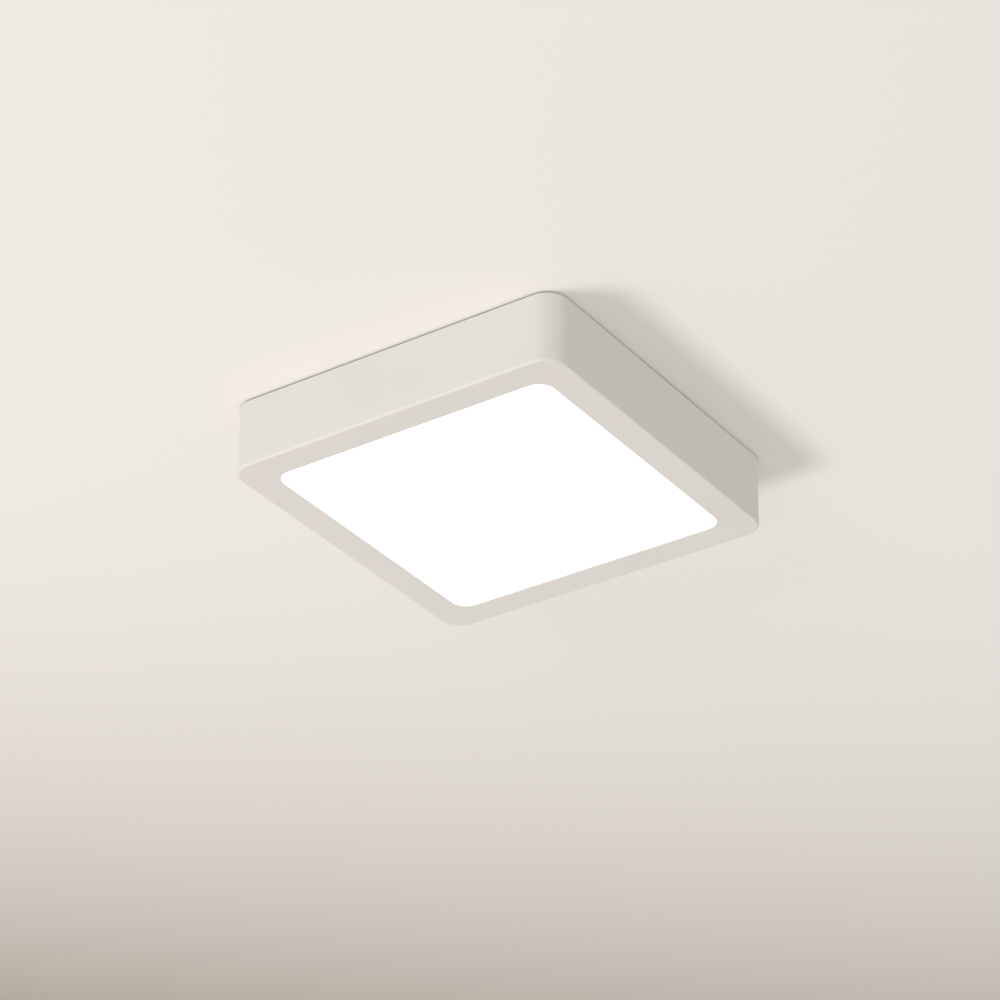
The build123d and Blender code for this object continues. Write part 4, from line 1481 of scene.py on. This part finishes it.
@dataclass
class Fasteners:
    """All screws and rivets, each kind grown on the places where it sits."""

    plate_screw: PanScrew = PanScrew()
    long_screw: PanScrew = PanScrew(length=3.4 * MM)
    earth_screw: PanScrew = PanScrew(2.0 * MM, 3.6 * MM, 2.4 * MM, 1.8 * MM)
    rivet: BlindRivet = BlindRivet()

    def build(self) -> None:
        """Puts the screws and rivets in their places."""
        self.group = scatter_group()
        plate = Span.of("back_plate_screws")
        seat = plate.high.z - self.plate_screw.head_h
        far = plate.half.x - self.plate_screw.head_r
        spots = eight_places(BOSS_OFFSET, far, seat)
        self.fix("back_plate_screws", self.plate_screw, spots, Kind.ZINC_SCREW, 3)
        for seed, node in enumerate(("driver_screws", "terminal_screws", "cord_clamp_screws")):
            span = Span.of(node)
            seat = span.high.z - self.long_screw.head_h
            screw = PanScrew(length=seat - span.low.z)
            spots = span.ends(screw.head_r, seat)
            self.fix(node, screw, spots, Kind.ZINC_SCREW, 11 + seed)
        span = Span.of("earth_screw")
        seat = span.high.z - self.earth_screw.head_h
        spots = [(span.middle.x, span.middle.y, seat)]
        self.fix("earth_screw", self.earth_screw, spots, Kind.TINNED_BRASS, 5)
        span = Span.of("clip_rivets")
        spots = span.corners(self.rivet.head_r, span.high.z - self.rivet.head_h)
        self.fix("clip_rivets", self.rivet, spots, Kind.RIVET_ALLOY, 8)

    def fix(
        self,
        node: str,
        fastener: PanScrew | BlindRivet,
        spots: Sequence[Point],
        kind: Kind,
        seed: int,
    ) -> None:
        """Puts one kind of fastener on its places, turned by chance from a seed."""
        part = fastener.part()
        self.group.repeat(f"{node}_turned", part, spots, kind, node, Turn=math.tau, Seed=seed)


@dataclass
class Housing:
    """Die-cast frame with its bezel, the rib round the lit stack, webs and screw bosses."""

    half: float = 85.0 * MM
    corner_r: float = 10.7 * MM
    rim_z: float = -0.6 * MM
    face_z: float = -34.0 * MM
    edge_r: float = 1.2 * MM
    window_half: float = 70.5 * MM
    window_r: float = 7.4 * MM
    window_bevel: float = 0.25 * MM
    ledge_z: float = -32.6 * MM
    rib_half: float = 75.2 * MM
    rib_r: float = 12.1 * MM
    rib_t: float = 1.6 * MM
    rib_top_z: float = -26.0 * MM
    floor_z: float = -32.0 * MM
    wall: float = 1.8 * MM
    rim_wall: float = 1.2 * MM
    step_z: float = -3.6 * MM
    bevel: float = 0.25 * MM
    steps: int = 14
    edge_steps: int = 10
    web_t: float = 1.4 * MM
    web_pitch: float = 22.0 * MM
    web_top_z: float = -27.5 * MM
    boss_hole_r: float = 1.55 * MM
    slot_y: float = 37.6 * MM
    slot_width: float = 5.4 * MM
    slot_z: float = -31.4 * MM

    @property
    def wall_half(self) -> float:
        """Returns half of the clear width between the side walls."""
        return self.half - self.wall

    @property
    def channel(self) -> tuple[float, float]:
        """Returns the middle and the half width of the channel round the rib."""
        inner = self.rib_half + self.rib_t
        return (inner + self.wall_half) / 2, (self.wall_half - inner) / 2

    def section(self) -> list[tuple[float, float, float]]:
        """Draws the section of the frame.

        Returns:
            Half sides, corner radii and heights, all the way round it.
        """
        edge = []
        for step in range(self.edge_steps + 1):
            angle = math.radians(90.0 * step / self.edge_steps)
            inset = self.edge_r * (1 - math.cos(angle))
            drop = self.edge_r * (1 - math.sin(angle))
            edge.append((self.half - inset, self.corner_r - inset, self.face_z + drop))
        inner, inner_r = self.wall_half, self.corner_r - self.wall
        rim, rim_r = self.half - self.rim_wall, self.corner_r - self.rim_wall
        rib, rib_r = self.rib_half + self.rib_t, self.rib_r + self.rib_t
        cut, soft = self.window_bevel, self.bevel
        return [
            (self.half - soft, self.corner_r - soft, self.rim_z),
            (self.half, self.corner_r, self.rim_z - soft),
            *edge,
            (self.window_half + cut, self.window_r + cut, self.face_z),
            (self.window_half, self.window_r, self.face_z + cut),
            (self.window_half, self.window_r, self.ledge_z),
            (self.rib_half, self.rib_r, self.ledge_z),
            (self.rib_half, self.rib_r, self.rib_top_z - soft),
            (self.rib_half + soft, self.rib_r + soft, self.rib_top_z),
            (rib - soft, rib_r - soft, self.rib_top_z),
            (rib, rib_r, self.rib_top_z - soft),
            (rib, rib_r, self.floor_z + soft),
            (rib + soft, rib_r + soft, self.floor_z),
            (inner - soft, inner_r - soft, self.floor_z),
            (inner, inner_r, self.floor_z + soft),
            (inner, inner_r, self.step_z - soft),
            (inner + soft, inner_r + soft, self.step_z),
            (rim, rim_r, self.step_z),
            (rim, rim_r, self.rim_z - soft),
            (rim + soft, rim_r + soft, self.rim_z),
        ]

    def build(self) -> None:
        """Builds the frame with its inner ribs and bosses."""
        loops = [rounded_square(half, r, z, self.steps) for half, r, z in self.section()]
        made = thing("housing_frame", loft(loops, closed=True))
        slot_middle = (self.rib_half + self.rib_t / 2, self.slot_y)
        slot_halves = (self.rib_t, self.slot_width / 2)
        top = self.rib_top_z + self.rib_t
        carved(made, slab(slot_halves, 0.2 * MM, slot_middle, self.slot_z, top, 2))
        placed(made, Kind.POWDER_COAT, "lamp", "housing")
        self.webs()
        self.bosses()

    def webs(self) -> None:
        """Grows the webs between the rib and the side walls."""
        middle, width = self.channel
        sections = (
            (self.web_t * 0.6, self.floor_z - 0.1 * MM),
            (self.web_t * 0.46, self.web_top_z - 0.25 * MM),
            (self.web_t * 0.3, self.web_top_z),
        )
        reach = width + 0.1 * MM
        loops = [rounded_box((reach, y), 0.05 * MM, (0, 0), z, 2) for y, z in sections]
        part = thing("web_part", loft(loops))
        sizes = {"Count": 3, "Pitch": self.web_pitch, "Offset": middle, "Height": 0.0}
        group = four_sides_group()
        group.repeat("housing_webs", part, (), Kind.POWDER_COAT, "housing", **sizes)

    def bosses(self) -> None:
        """Grows the bosses that take the back plate's screws."""
        middle, width = self.channel
        r, soft, hole = width + 0.2 * MM, self.bevel, self.boss_hole_r
        section = [(0.0, self.floor_z - 0.1 * MM), (r + 0.3 * MM, self.floor_z - 0.1 * MM)]
        section += [(r, self.floor_z + 0.6 * MM), (r, self.rib_top_z - soft)]
        section += [(r - soft, self.rib_top_z), (hole + 0.2 * MM, self.rib_top_z)]
        section += [(hole, self.rib_top_z - 0.2 * MM), (hole, self.floor_z + 0.05 * MM)]
        section += [(0.0, self.floor_z + 0.02 * MM)]
        part = thing("boss_part", turned(section, 24))
        spots = eight_places(BOSS_OFFSET, middle, 0.0)
        group = scatter_group()
        group.repeat("housing_bosses", part, spots, Kind.POWDER_COAT, "housing", Turn=0.0, Seed=0)


@dataclass
class LitStack:
    """Diffuser, light guide with its dots, and the LEDs on their strip."""

    edge: float = 0.3 * MM
    outer_r: float = 11.8 * MM
    flange_overlap: float = 4.6 * MM
    flange_t: float = 1.2 * MM
    steps: int = 14
    chip_pitch: float = 9.4 * MM
    chips_per_side: int = 12
    chip: Point = (0.7 * MM, 3.5 * MM, 2.7 * MM)
    dots_side: float = 140.0 * MM
    dots_per_side: int = 30
    dot_radii: Place = (0.45 * MM, 1.15 * MM)

    def build(self) -> None:
        """Builds the lit pieces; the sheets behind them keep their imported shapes."""
        self.diffuser()
        self.guide()
        self.chips()

    def diffuser(self) -> None:
        """Builds the opal plate: its lit field in the window and its flange behind it."""
        span = Span.of("diffuser")
        outer, outer_r, low = span.half.x, self.outer_r, span.low.z
        field_half = outer - self.flange_overlap
        field_r = outer_r - self.flange_overlap
        ledge = span.high.z - self.flange_t
        soft = self.edge * 0.3
        section = [
            (field_half - self.edge, field_r - self.edge, low),
            (field_half - soft, field_r - soft, low + soft),
            (field_half, field_r, low + self.edge),
            (field_half, field_r, ledge),
            (outer, outer_r, ledge),
            (outer, outer_r, span.high.z),
        ]
        loops = [rounded_square(half, r, z, self.steps) for half, r, z in section]
        placed(thing("diffuser_plate", loft(loops)), Kind.DIFFUSER, "lamp", "diffuser")

    def guide(self) -> None:
        """Builds the light guide and the dots that are printed on its back."""
        adopted("light_guide_plate", "light_guide", Kind.LIGHT_GUIDE, 0.15 * MM, 2)
        values = {
            "Side": self.dots_side,
            "Count": self.dots_per_side,
            "Smallest": self.dot_radii[0],
            "Largest": self.dot_radii[1],
            "Height": Span.of("light_guide").high.z - DOT_DEPTH,
            "Material": Kind.REFLECTOR.value.material(),
        }
        dots = dot_group().grow("light_guide_dots", points([]), values)
        placed(dots, Kind.REFLECTOR, "lamp", "light_guide")

    def chips(self) -> None:
        """Grows the LEDs along the four sides: their bodies and their phosphor windows."""
        span = Span.of("led_chips")
        depth, length, height = self.chip
        turn = Matrix.Rotation(math.radians(-90.0), 4, "Y")
        halves = (height / 2, length / 2)
        floor = (halves[0] * 0.76, halves[1] * 0.82)
        mouth = (halves[0] * 0.82, halves[1] * 0.86)
        cup = [
            rounded_box(halves, 0.15 * MM, (0, 0), -depth / 2, 2),
            rounded_box(halves, 0.15 * MM, (0, 0), depth / 2, 2),
            rounded_box(mouth, 0.3 * MM, (0, 0), depth / 2, 2),
            rounded_box(floor, 0.25 * MM, (0, 0), depth * 0.2, 2),
        ]
        window = slab(floor, 0.25 * MM, (0, 0), depth * 0.2, depth * 0.42, 2)
        sizes = {
            "Count": self.chips_per_side,
            "Pitch": self.chip_pitch,
            "Offset": span.half.x - depth / 2,
            "Height": span.middle.z,
        }
        group = four_sides_group()
        for name, mesh, kind in (
            ("led_bodies", loft(cup), Kind.CONNECTOR),
            ("led_windows", window, Kind.LED_CHIPS),
        ):
            part = thing("led_part", moved(mesh, (0.0, 0.0, 0.0), turn))
            group.repeat(name, part, (), kind, "led_chips", **sizes)


@dataclass
class BackPlate:
    """Sheet metal plate with pressed ribs, and the grommet of the LED leads."""

    edge: float = 0.22 * MM
    grommet_edge: float = 0.35 * MM

    def build(self) -> None:
        """Builds the plate and the grommet."""
        adopted("back_plate_sheet", "back_plate", Kind.BACK_PLATE, self.edge, 2)
        adopted("lead_grommet_soft", "lead_grommet", Kind.GREY_RUBBER, self.grommet_edge)


@dataclass
class Driver:
    """Driver case with its lid, and the board with its parts inside."""

    case_edge: float = 0.35 * MM
    lid_edge: float = 0.3 * MM
    field_halves: Place = (27.0 * MM, 9.0 * MM)
    field_depth: float = 0.3 * MM
    slot_offset: float = 2.0 * MM
    slot_halves: Place = (1.6 * MM, 0.7 * MM)
    slot_depth: float = 1.8 * MM
    leg_reach: float = 0.7 * MM
    leg_t: float = 0.2 * MM
    waist: float = 1.9 * MM
    bobbin_edge: float = 0.3 * MM
    wire: float = 0.36 * MM
    can_edge: float = 0.45 * MM
    can_groove: float = 1.8 * MM

    def build(self) -> None:
        """Builds the case, the lid and the parts on the board."""
        adopted("driver_case_moulded", "driver_case", Kind.DRIVER_CASE, self.case_edge)
        self.lid()
        self.boxes()
        self.fuse()
        self.choke()
        self.capacitors()

    def lid(self) -> None:
        """Builds the lid, with the shallow field that such lids have."""
        span = Span.of("driver_lid")
        lid = thing("driver_lid_moulded", welded("driver_lid"))
        middle = (span.middle.x, span.middle.y)
        bottom, top = span.high.z - self.field_depth, span.high.z + MM
        carved(lid, slab(self.field_halves, 1.5 * MM, middle, bottom, top))
        placed(softened(lid, self.lid_edge), Kind.DRIVER_CASE, "lamp", "driver_lid")

    def boxes(self) -> None:
        """Builds the box-shaped parts, with the slots of the two connectors."""
        for node, kind, edge in (
            ("film_capacitor", Kind.FILM_BOX, 0.5),
            ("bridge_rectifier", Kind.BLACK_PACKAGE, 0.3),
            ("driver_chip", Kind.BLACK_PACKAGE, 0.2),
            ("output_diode", Kind.BLACK_PACKAGE, 0.2),
            ("transformer_core", Kind.FERRITE, 0.25),
            ("transformer_coil", Kind.COIL_TAPE, 0.35),
            ("varistor", Kind.VARISTOR_COAT, 0.4),
        ):
            adopted(f"{node}_body", node, kind, edge * MM)
        for node in ("input_connector", "output_connector"):
            span = Span.of(node)
            made = thing(f"{node}_body", welded(node))
            for side in (-1, 1):
                middle = (span.middle.x, span.middle.y + side * self.slot_offset)
                bottom, top = span.high.z - self.slot_depth, span.high.z + MM
                carved(made, slab(self.slot_halves, 0.2 * MM, middle, bottom, top, 2))
            placed(softened(made, 0.25 * MM), Kind.CONNECTOR, "lamp", node)
        self.legs()

    def legs(self) -> None:
        """Grows the flat legs under the chip, the rectifier and the diode."""
        group = scatter_group()
        for node, count, pitch, width in (
            ("driver_chip", 3, 1.27, 0.4),
            ("bridge_rectifier", 2, 4.0, 1.0),
            ("output_diode", 1, 1.0, 1.4),
        ):
            span = Span.of(node)
            halves = (width * MM / 2, span.half.y + self.leg_reach)
            part = thing("leg_part", slab(halves, 0.1 * MM, (0, 0), 0.0, self.leg_t, 2))
            start = span.middle.x - (count - 1) * pitch * MM / 2
            spots = [
                (start + place * pitch * MM, span.middle.y, span.low.z) for place in range(count)
            ]
            group.repeat(f"{node}_legs", part, spots, Kind.TINNED_BRASS, node, Turn=0.0, Seed=0)

    def fuse(self) -> None:
        """Builds the fuse, a can with a lid that is pressed on."""
        span = Span.of("input_fuse")
        r, height = span.half.x, span.high.z - span.low.z
        section = [(0.0, 0.0), (r - 0.2 * MM, 0.0), (r, 0.2 * MM), (r, 0.9 * MM)]
        section += [(r - 0.12 * MM, 1.0 * MM), (r - 0.12 * MM, height - 0.6 * MM)]
        section += [(r - 0.3 * MM, height - 0.2 * MM), (r - 0.7 * MM, height), (0.0, height)]
        mesh = moved(turned(section, 32), (span.middle.x, span.middle.y, span.low.z))
        placed(thing("input_fuse_can", mesh), Kind.FUSE_BODY, "lamp", "input_fuse")

    def choke(self) -> None:
        """Builds the choke: its ferrite bobbin and the wire wound on it."""
        span, coil = Span.of("choke_core"), Span.of("choke_coil")
        r, waist, soft = span.half.x, self.waist, self.bobbin_edge
        low, high = span.low.z, span.high.z
        section = [(0.0, low), (r - soft, low), (r, low + soft), (r, coil.low.z - soft)]
        section += [(r - soft, coil.low.z), (waist, coil.low.z), (waist, coil.high.z)]
        section += [(r - soft, coil.high.z), (r, coil.high.z + soft), (r, high - soft)]
        section += [(r - soft, high), (0.0, high)]
        mesh = moved(turned(section, 36), (span.middle.x, span.middle.y, 0.0))
        placed(thing("choke_bobbin", mesh), Kind.FERRITE, "lamp", "choke_core")
        wire = self.wire
        height = coil.high.z - coil.low.z - wire
        layers = int((coil.half.x - waist) / wire)
        values = {
            "Turns": height / wire,
            "Wire": wire,
            "Inner radius": waist,
            "Layers": layers,
            "Height": height,
            "Material": Kind.COPPER_WINDING.value.material(),
        }
        made = coil_group().grow("choke_winding", points([]), values)
        made.data.transform(
            Matrix.Translation((coil.middle.x, coil.middle.y, coil.low.z + wire / 2))
        )
        placed(made, Kind.COPPER_WINDING, "lamp", "choke_coil")

    def capacitors(self) -> None:
        """Builds the two lying capacitors: rolled cans with a scored vent."""
        for node in ("input_capacitor", "output_capacitor"):
            span = Span.of(node)
            r, length = span.half.x, 2 * span.half.y
            soft, groove = self.can_edge, self.can_groove
            section = [(0.0, 0.25 * MM), (r - 1.1 * MM, 0.2 * MM), (r - MM, 0.0)]
            section += [(r - soft, 0.0), (r, soft), (r, groove - 0.4 * MM)]
            section += [(r - 0.28 * MM, groove), (r, groove + 0.4 * MM), (r, length - soft)]
            section += [(r - soft, length), (r - 0.9 * MM, length)]
            section += [(r - MM, length - 0.12 * MM), (0.0, length - 0.12 * MM)]
            turn = Matrix.Rotation(math.radians(-90.0), 4, "X")
            way = (span.middle.x, span.low.y, span.middle.z)
            can = thing(f"{node}_can", moved(turned(section, 40), way, turn))
            for angle in (45.0, 135.0):
                score = slab((r * 0.6, 0.12 * MM), 0.05 * MM, (0, 0), -0.1 * MM, 0.3 * MM, 1)
                across = Matrix.Rotation(math.radians(angle), 4, "Z")
                end = (span.middle.x, span.high.y - 0.25 * MM, span.middle.z)
                carved(can, moved(score, end, turn @ across))
            placed(can, Kind.CAN_SLEEVE, "lamp", node)
            sizes = {"middle": tuple(span.middle), "radius": r, "half_length": length / 2}
            Sleeve(f"{node}_sleeve", **sizes).dress(can)


@dataclass
class Terminals:
    """Push-in terminal block with its contacts and release buttons."""

    edge: float = 0.3 * MM
    slot_halves: Place = (1.15 * MM, 0.35 * MM)
    slot_depth: float = 0.6 * MM

    def build(self) -> None:
        """Builds the block, the contacts and the three buttons."""
        adopted("terminal_block_moulded", "terminal_block", Kind.TERMINAL_BODY, self.edge)
        adopted("terminal_contacts_bent", "terminal_contacts", Kind.CONTACT_METAL, 0.1 * MM)
        for name in ("live", "neutral", "earth"):
            self.button(name)

    def button(self, name: str) -> None:
        """Builds one release button, with the slot for a screwdriver.

        Args:
            name: the terminal's name.
        """
        node = f"button_{name}"
        span = Span.of(node)
        button = thing(f"{node}_moulded", welded(node))
        middle = (span.middle.x, span.middle.y)
        bottom, top = span.high.z - self.slot_depth, span.high.z + MM
        carved(button, slab(self.slot_halves, 0.1 * MM, middle, bottom, top, 2))
        placed(softened(button, 0.12 * MM, 2), Kind.BUTTON_GREY, f"{name}_release", node)


@dataclass
class Hardware:
    """Cord clamp, spring clips, earth ring and leads on the back plate."""

    def build(self) -> None:
        """Builds the clamp, the clips, the ring and the leads."""
        for node, name, kind, edge in (
            ("cord_clamp", "cord_clamp_moulded", Kind.CLAMP_PLASTIC, 0.4 * MM),
            ("spring_clip_left", "spring_clip_left_bent", Kind.SPRING_STEEL, 0.14 * MM),
            ("spring_clip_right", "spring_clip_right_bent", Kind.SPRING_STEEL, 0.14 * MM),
            ("earth_ring", "earth_ring_stamped", Kind.TINNED_BRASS, 0.12 * MM),
        ):
            adopted(name, node, kind, edge)
        for node, kind in (
            ("live_lead", Kind.LEAD_BROWN),
            ("neutral_lead", Kind.LEAD_BLUE),
            ("earth_lead", Kind.LEAD_EARTH),
            ("led_lead_plus", Kind.LEAD_RED),
            ("led_lead_minus", Kind.LEAD_BLACK),
        ):
            placed(thing(f"{node}_insulated", welded(node)), kind, "lamp", node)


@dataclass
class CeilingMount:
    """Pressed bracket on the ceiling and the grommet in its cable hole."""

    edge: float = 0.2 * MM
    bore_r: float = 5.0 * MM
    hole_r: float = 9.8 * MM
    soft: float = 0.5 * MM
    groove: float = 1.2 * MM

    def build(self) -> None:
        """Builds the bracket and the grommet."""
        name, node = "mounting_bracket_pressed", "mounting_bracket"
        adopted(name, node, Kind.GALVANISED, self.edge, body="ceiling_mount")
        self.grommet()

    def grommet(self) -> None:
        """Builds the grommet, with its groove round the bracket's sheet."""
        span = Span.of("cable_grommet")
        flange, low, high, soft = span.half.x, span.low.z, span.high.z, self.soft
        lip = (high - low - self.groove) / 2
        section = [
            (self.bore_r, low + soft),
            (self.bore_r + soft, low),
            (flange - soft, low),
            (flange, low + soft),
            (flange, low + lip - 0.2 * MM),
            (flange - 0.2 * MM, low + lip),
            (self.hole_r, low + lip),
            (self.hole_r, high - lip),
            (flange - 0.2 * MM, high - lip),
            (flange, high - lip + 0.2 * MM),
            (flange, high - soft),
            (flange - soft, high),
            (self.bore_r + soft, high),
            (self.bore_r, high - soft),
        ]
        mesh = moved(turned(section, 64, hollow=True), (span.middle.x, span.middle.y, 0.0))
        grommet = softened(thing("cable_grommet_soft", mesh), 0.15 * MM, 2)
        placed(grommet, Kind.GREY_RUBBER, "ceiling_mount", "cable_grommet")


# ------------------------------------------------------------------ studio


@dataclass(frozen=True)
class SoftLamp:
    """A round area lamp that points at the object."""

    name: str
    way: Point
    level: float
    colour: Point = (1.0, 0.97, 0.94)
    distance: float = 3.0
    size: float = 1.05

    def build(self) -> None:
        """Adds the lamp; a white face turned to it gets about its level."""
        data = bpy.data.lights.new(self.name, "AREA")
        data.shape = "DISK"
        data.size = self.size
        data.color = self.colour
        data.energy = self.level * (math.pi * self.distance) ** 2
        lamp = bpy.data.objects.new(self.name, data)
        way = Vector(self.way).normalized()
        lamp.location = way * self.distance
        lamp.rotation_mode = "QUATERNION"
        lamp.rotation_quaternion = way.to_track_quat("Z", "Y")
        bpy.context.scene.collection.objects.link(lamp)


@dataclass
class Studio:
    """Ceiling, lights and camera; none of it belongs to the object."""

    camera_place: Point = (0.7851, -1.1181, -0.8442)
    camera_aim: Point = (-0.4943, 0.7037, 0.5104)
    camera_roll: float = math.radians(0.933)
    camera_lens: float = 130.84
    sensor: float = 36.0
    ceiling_half: float = 6.0
    ceiling_z: float = 0.2 * MM
    sky: Colour = tone(0.637, 0.62, 0.583)
    backdrop: Colour = tone(0.80, 0.79, 0.77)
    paint: Colour = tone(0.92, 0.90, 0.885)
    # painted shade: the colour that the ceiling darkens to far along the diagonal, for the room's
    # light falling off
    far_painted_shade: Colour = tone(0.454, 0.411, 0.364)
    fall_off: float = 1.9
    diagonal: float = 0.7071
    lamps: tuple[SoftLamp, ...] = (
        SoftLamp("key", (-0.517, -0.345, -0.784), 0.31, (1.0, 0.965, 0.925)),
        SoftLamp("side", (0.05, -0.99, -0.10), 0.285, (1.0, 0.985, 0.985), size=1.8),
        SoftLamp("above", (-0.35, 0.25, 0.9), 0.12, (1.0, 0.98, 0.96)),
    )

    def build(self) -> None:
        """Sets up the view, the camera, the ceiling and the lights."""
        bpy.context.scene.view_settings.view_transform = "Standard"
        self.camera()
        self.ceiling()
        self.world()
        for lamp in self.lamps:
            lamp.build()
        log.info("studio: ceiling, lights and camera")

    def camera(self) -> None:
        """Puts the camera where the light is seen from below, over a corner."""
        data = bpy.data.cameras.new("camera")
        data.lens = self.camera_lens
        data.sensor_width = self.sensor
        data.clip_start = 0.01
        data.clip_end = 100.0
        camera = bpy.data.objects.new("camera", data)
        turned = Vector(self.camera_aim).to_track_quat("-Z", "Y")
        camera.rotation_mode = "QUATERNION"
        camera.rotation_quaternion = turned @ Quaternion((0.0, 0.0, 1.0), self.camera_roll)
        camera.location = self.camera_place
        bpy.context.scene.collection.objects.link(camera)
        bpy.context.scene.camera = camera

    def ceiling(self) -> None:
        """Makes the ceiling; it shows only from the room's side and keeps the shadow."""
        mesh = bmesh.new()
        corners = ((-1, -1), (-1, 1), (1, 1), (1, -1))
        size = self.ceiling_half
        mesh.faces.new([mesh.verts.new((x * size, y * size, self.ceiling_z)) for x, y in corners])
        data = bpy.data.meshes.new("ceiling")
        mesh.to_mesh(data)
        mesh.free()
        ceiling = bpy.data.objects.new("ceiling", data)
        bpy.context.scene.collection.objects.link(ceiling)
        data.materials.append(self.plaster())
        ceiling.visible_diffuse = False
        ceiling.visible_glossy = False
        ceiling.visible_shadow = False
        ceiling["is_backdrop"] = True

    def plaster(self) -> bpy.types.Material:
        """Makes the ceiling's paint, with painted shade that darkens it towards the far side, clear
        from behind.

        Returns:
            The material.
        """
        shader = Shader("ceiling_paint")
        x, y, _ = shader.axes()
        roll = shader.noise(2.5 * MM, 3.0)
        # painted shade: the paint darkens with the square of the distance along the diagonal, for
        # the light falling off across the ceiling
        far = ((x - y) * self.diagonal).maths("MINIMUM", 0.0)
        tint = shader.blend(far * far * self.fall_off, self.paint, self.far_painted_shade)
        bump = shader.relief(roll, 0.02 * MM, 0.3)
        paint = shader.output("ShaderNodeBsdfDiffuse", {"Color": tint, "Normal": bump})
        clear = shader.output("ShaderNodeBsdfTransparent")
        behind = shader.output("ShaderNodeNewGeometry", output="Backfacing")
        both = shader.output("ShaderNodeMixShader", {0: behind, 1: paint, 2: clear})
        shader.node("ShaderNodeOutputMaterial", None, {"Surface": both})
        return shader.material

    def world(self) -> None:
        """Lights the room evenly and shows a pale background behind the object."""
        world = bpy.data.worlds.new("room")
        world.use_nodes = True
        bpy.context.scene.world = world
        tree = Tree(world.node_tree)
        tree.tree.nodes.clear()
        rays = tree.node("ShaderNodeLightPath")
        seen = tree.maths("MAXIMUM", rays.outputs["Is Camera Ray"], rays.outputs["Is Glossy Ray"])
        seen = seen.maths("MAXIMUM", rays.outputs["Is Transmission Ray"])
        light = tree.output("ShaderNodeBackground", {"Color": self.sky})
        shown = tree.output("ShaderNodeBackground", {"Color": self.backdrop})
        both = tree.output("ShaderNodeMixShader", {0: seen, 1: light, 2: shown})
        tree.node("ShaderNodeOutputWorld", None, {"Surface": both})


# ------------------------------------------------------------------ making


def corners(box: tuple[Vector, Vector]) -> list[list[float]]:
    """Returns a box's two corners as plain lists."""
    return [list(corner) for corner in box]


def dress_frame() -> None:
    """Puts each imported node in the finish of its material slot."""
    for entry in frame["record"]["subparts"]:
        finish_of(entry["material_slot"]).dress(frame["nodes"][entry["node"]])


def main() -> None:
    """Builds the light piece by piece."""
    logging.basicConfig(level=logging.INFO, format="%(name)s: %(message)s")
    cad_box = corners(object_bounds())
    Studio().build()
    dress_frame()
    for assembly in (
        Housing(),
        LitStack(),
        BackPlate(),
        Driver(),
        Terminals(),
        Hardware(),
        Fasteners(),
        CeilingMount(),
    ):
        assembly.build()
    {"cad": cad_box, "visual": corners(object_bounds())}


if __name__ == "__main__":
    main()
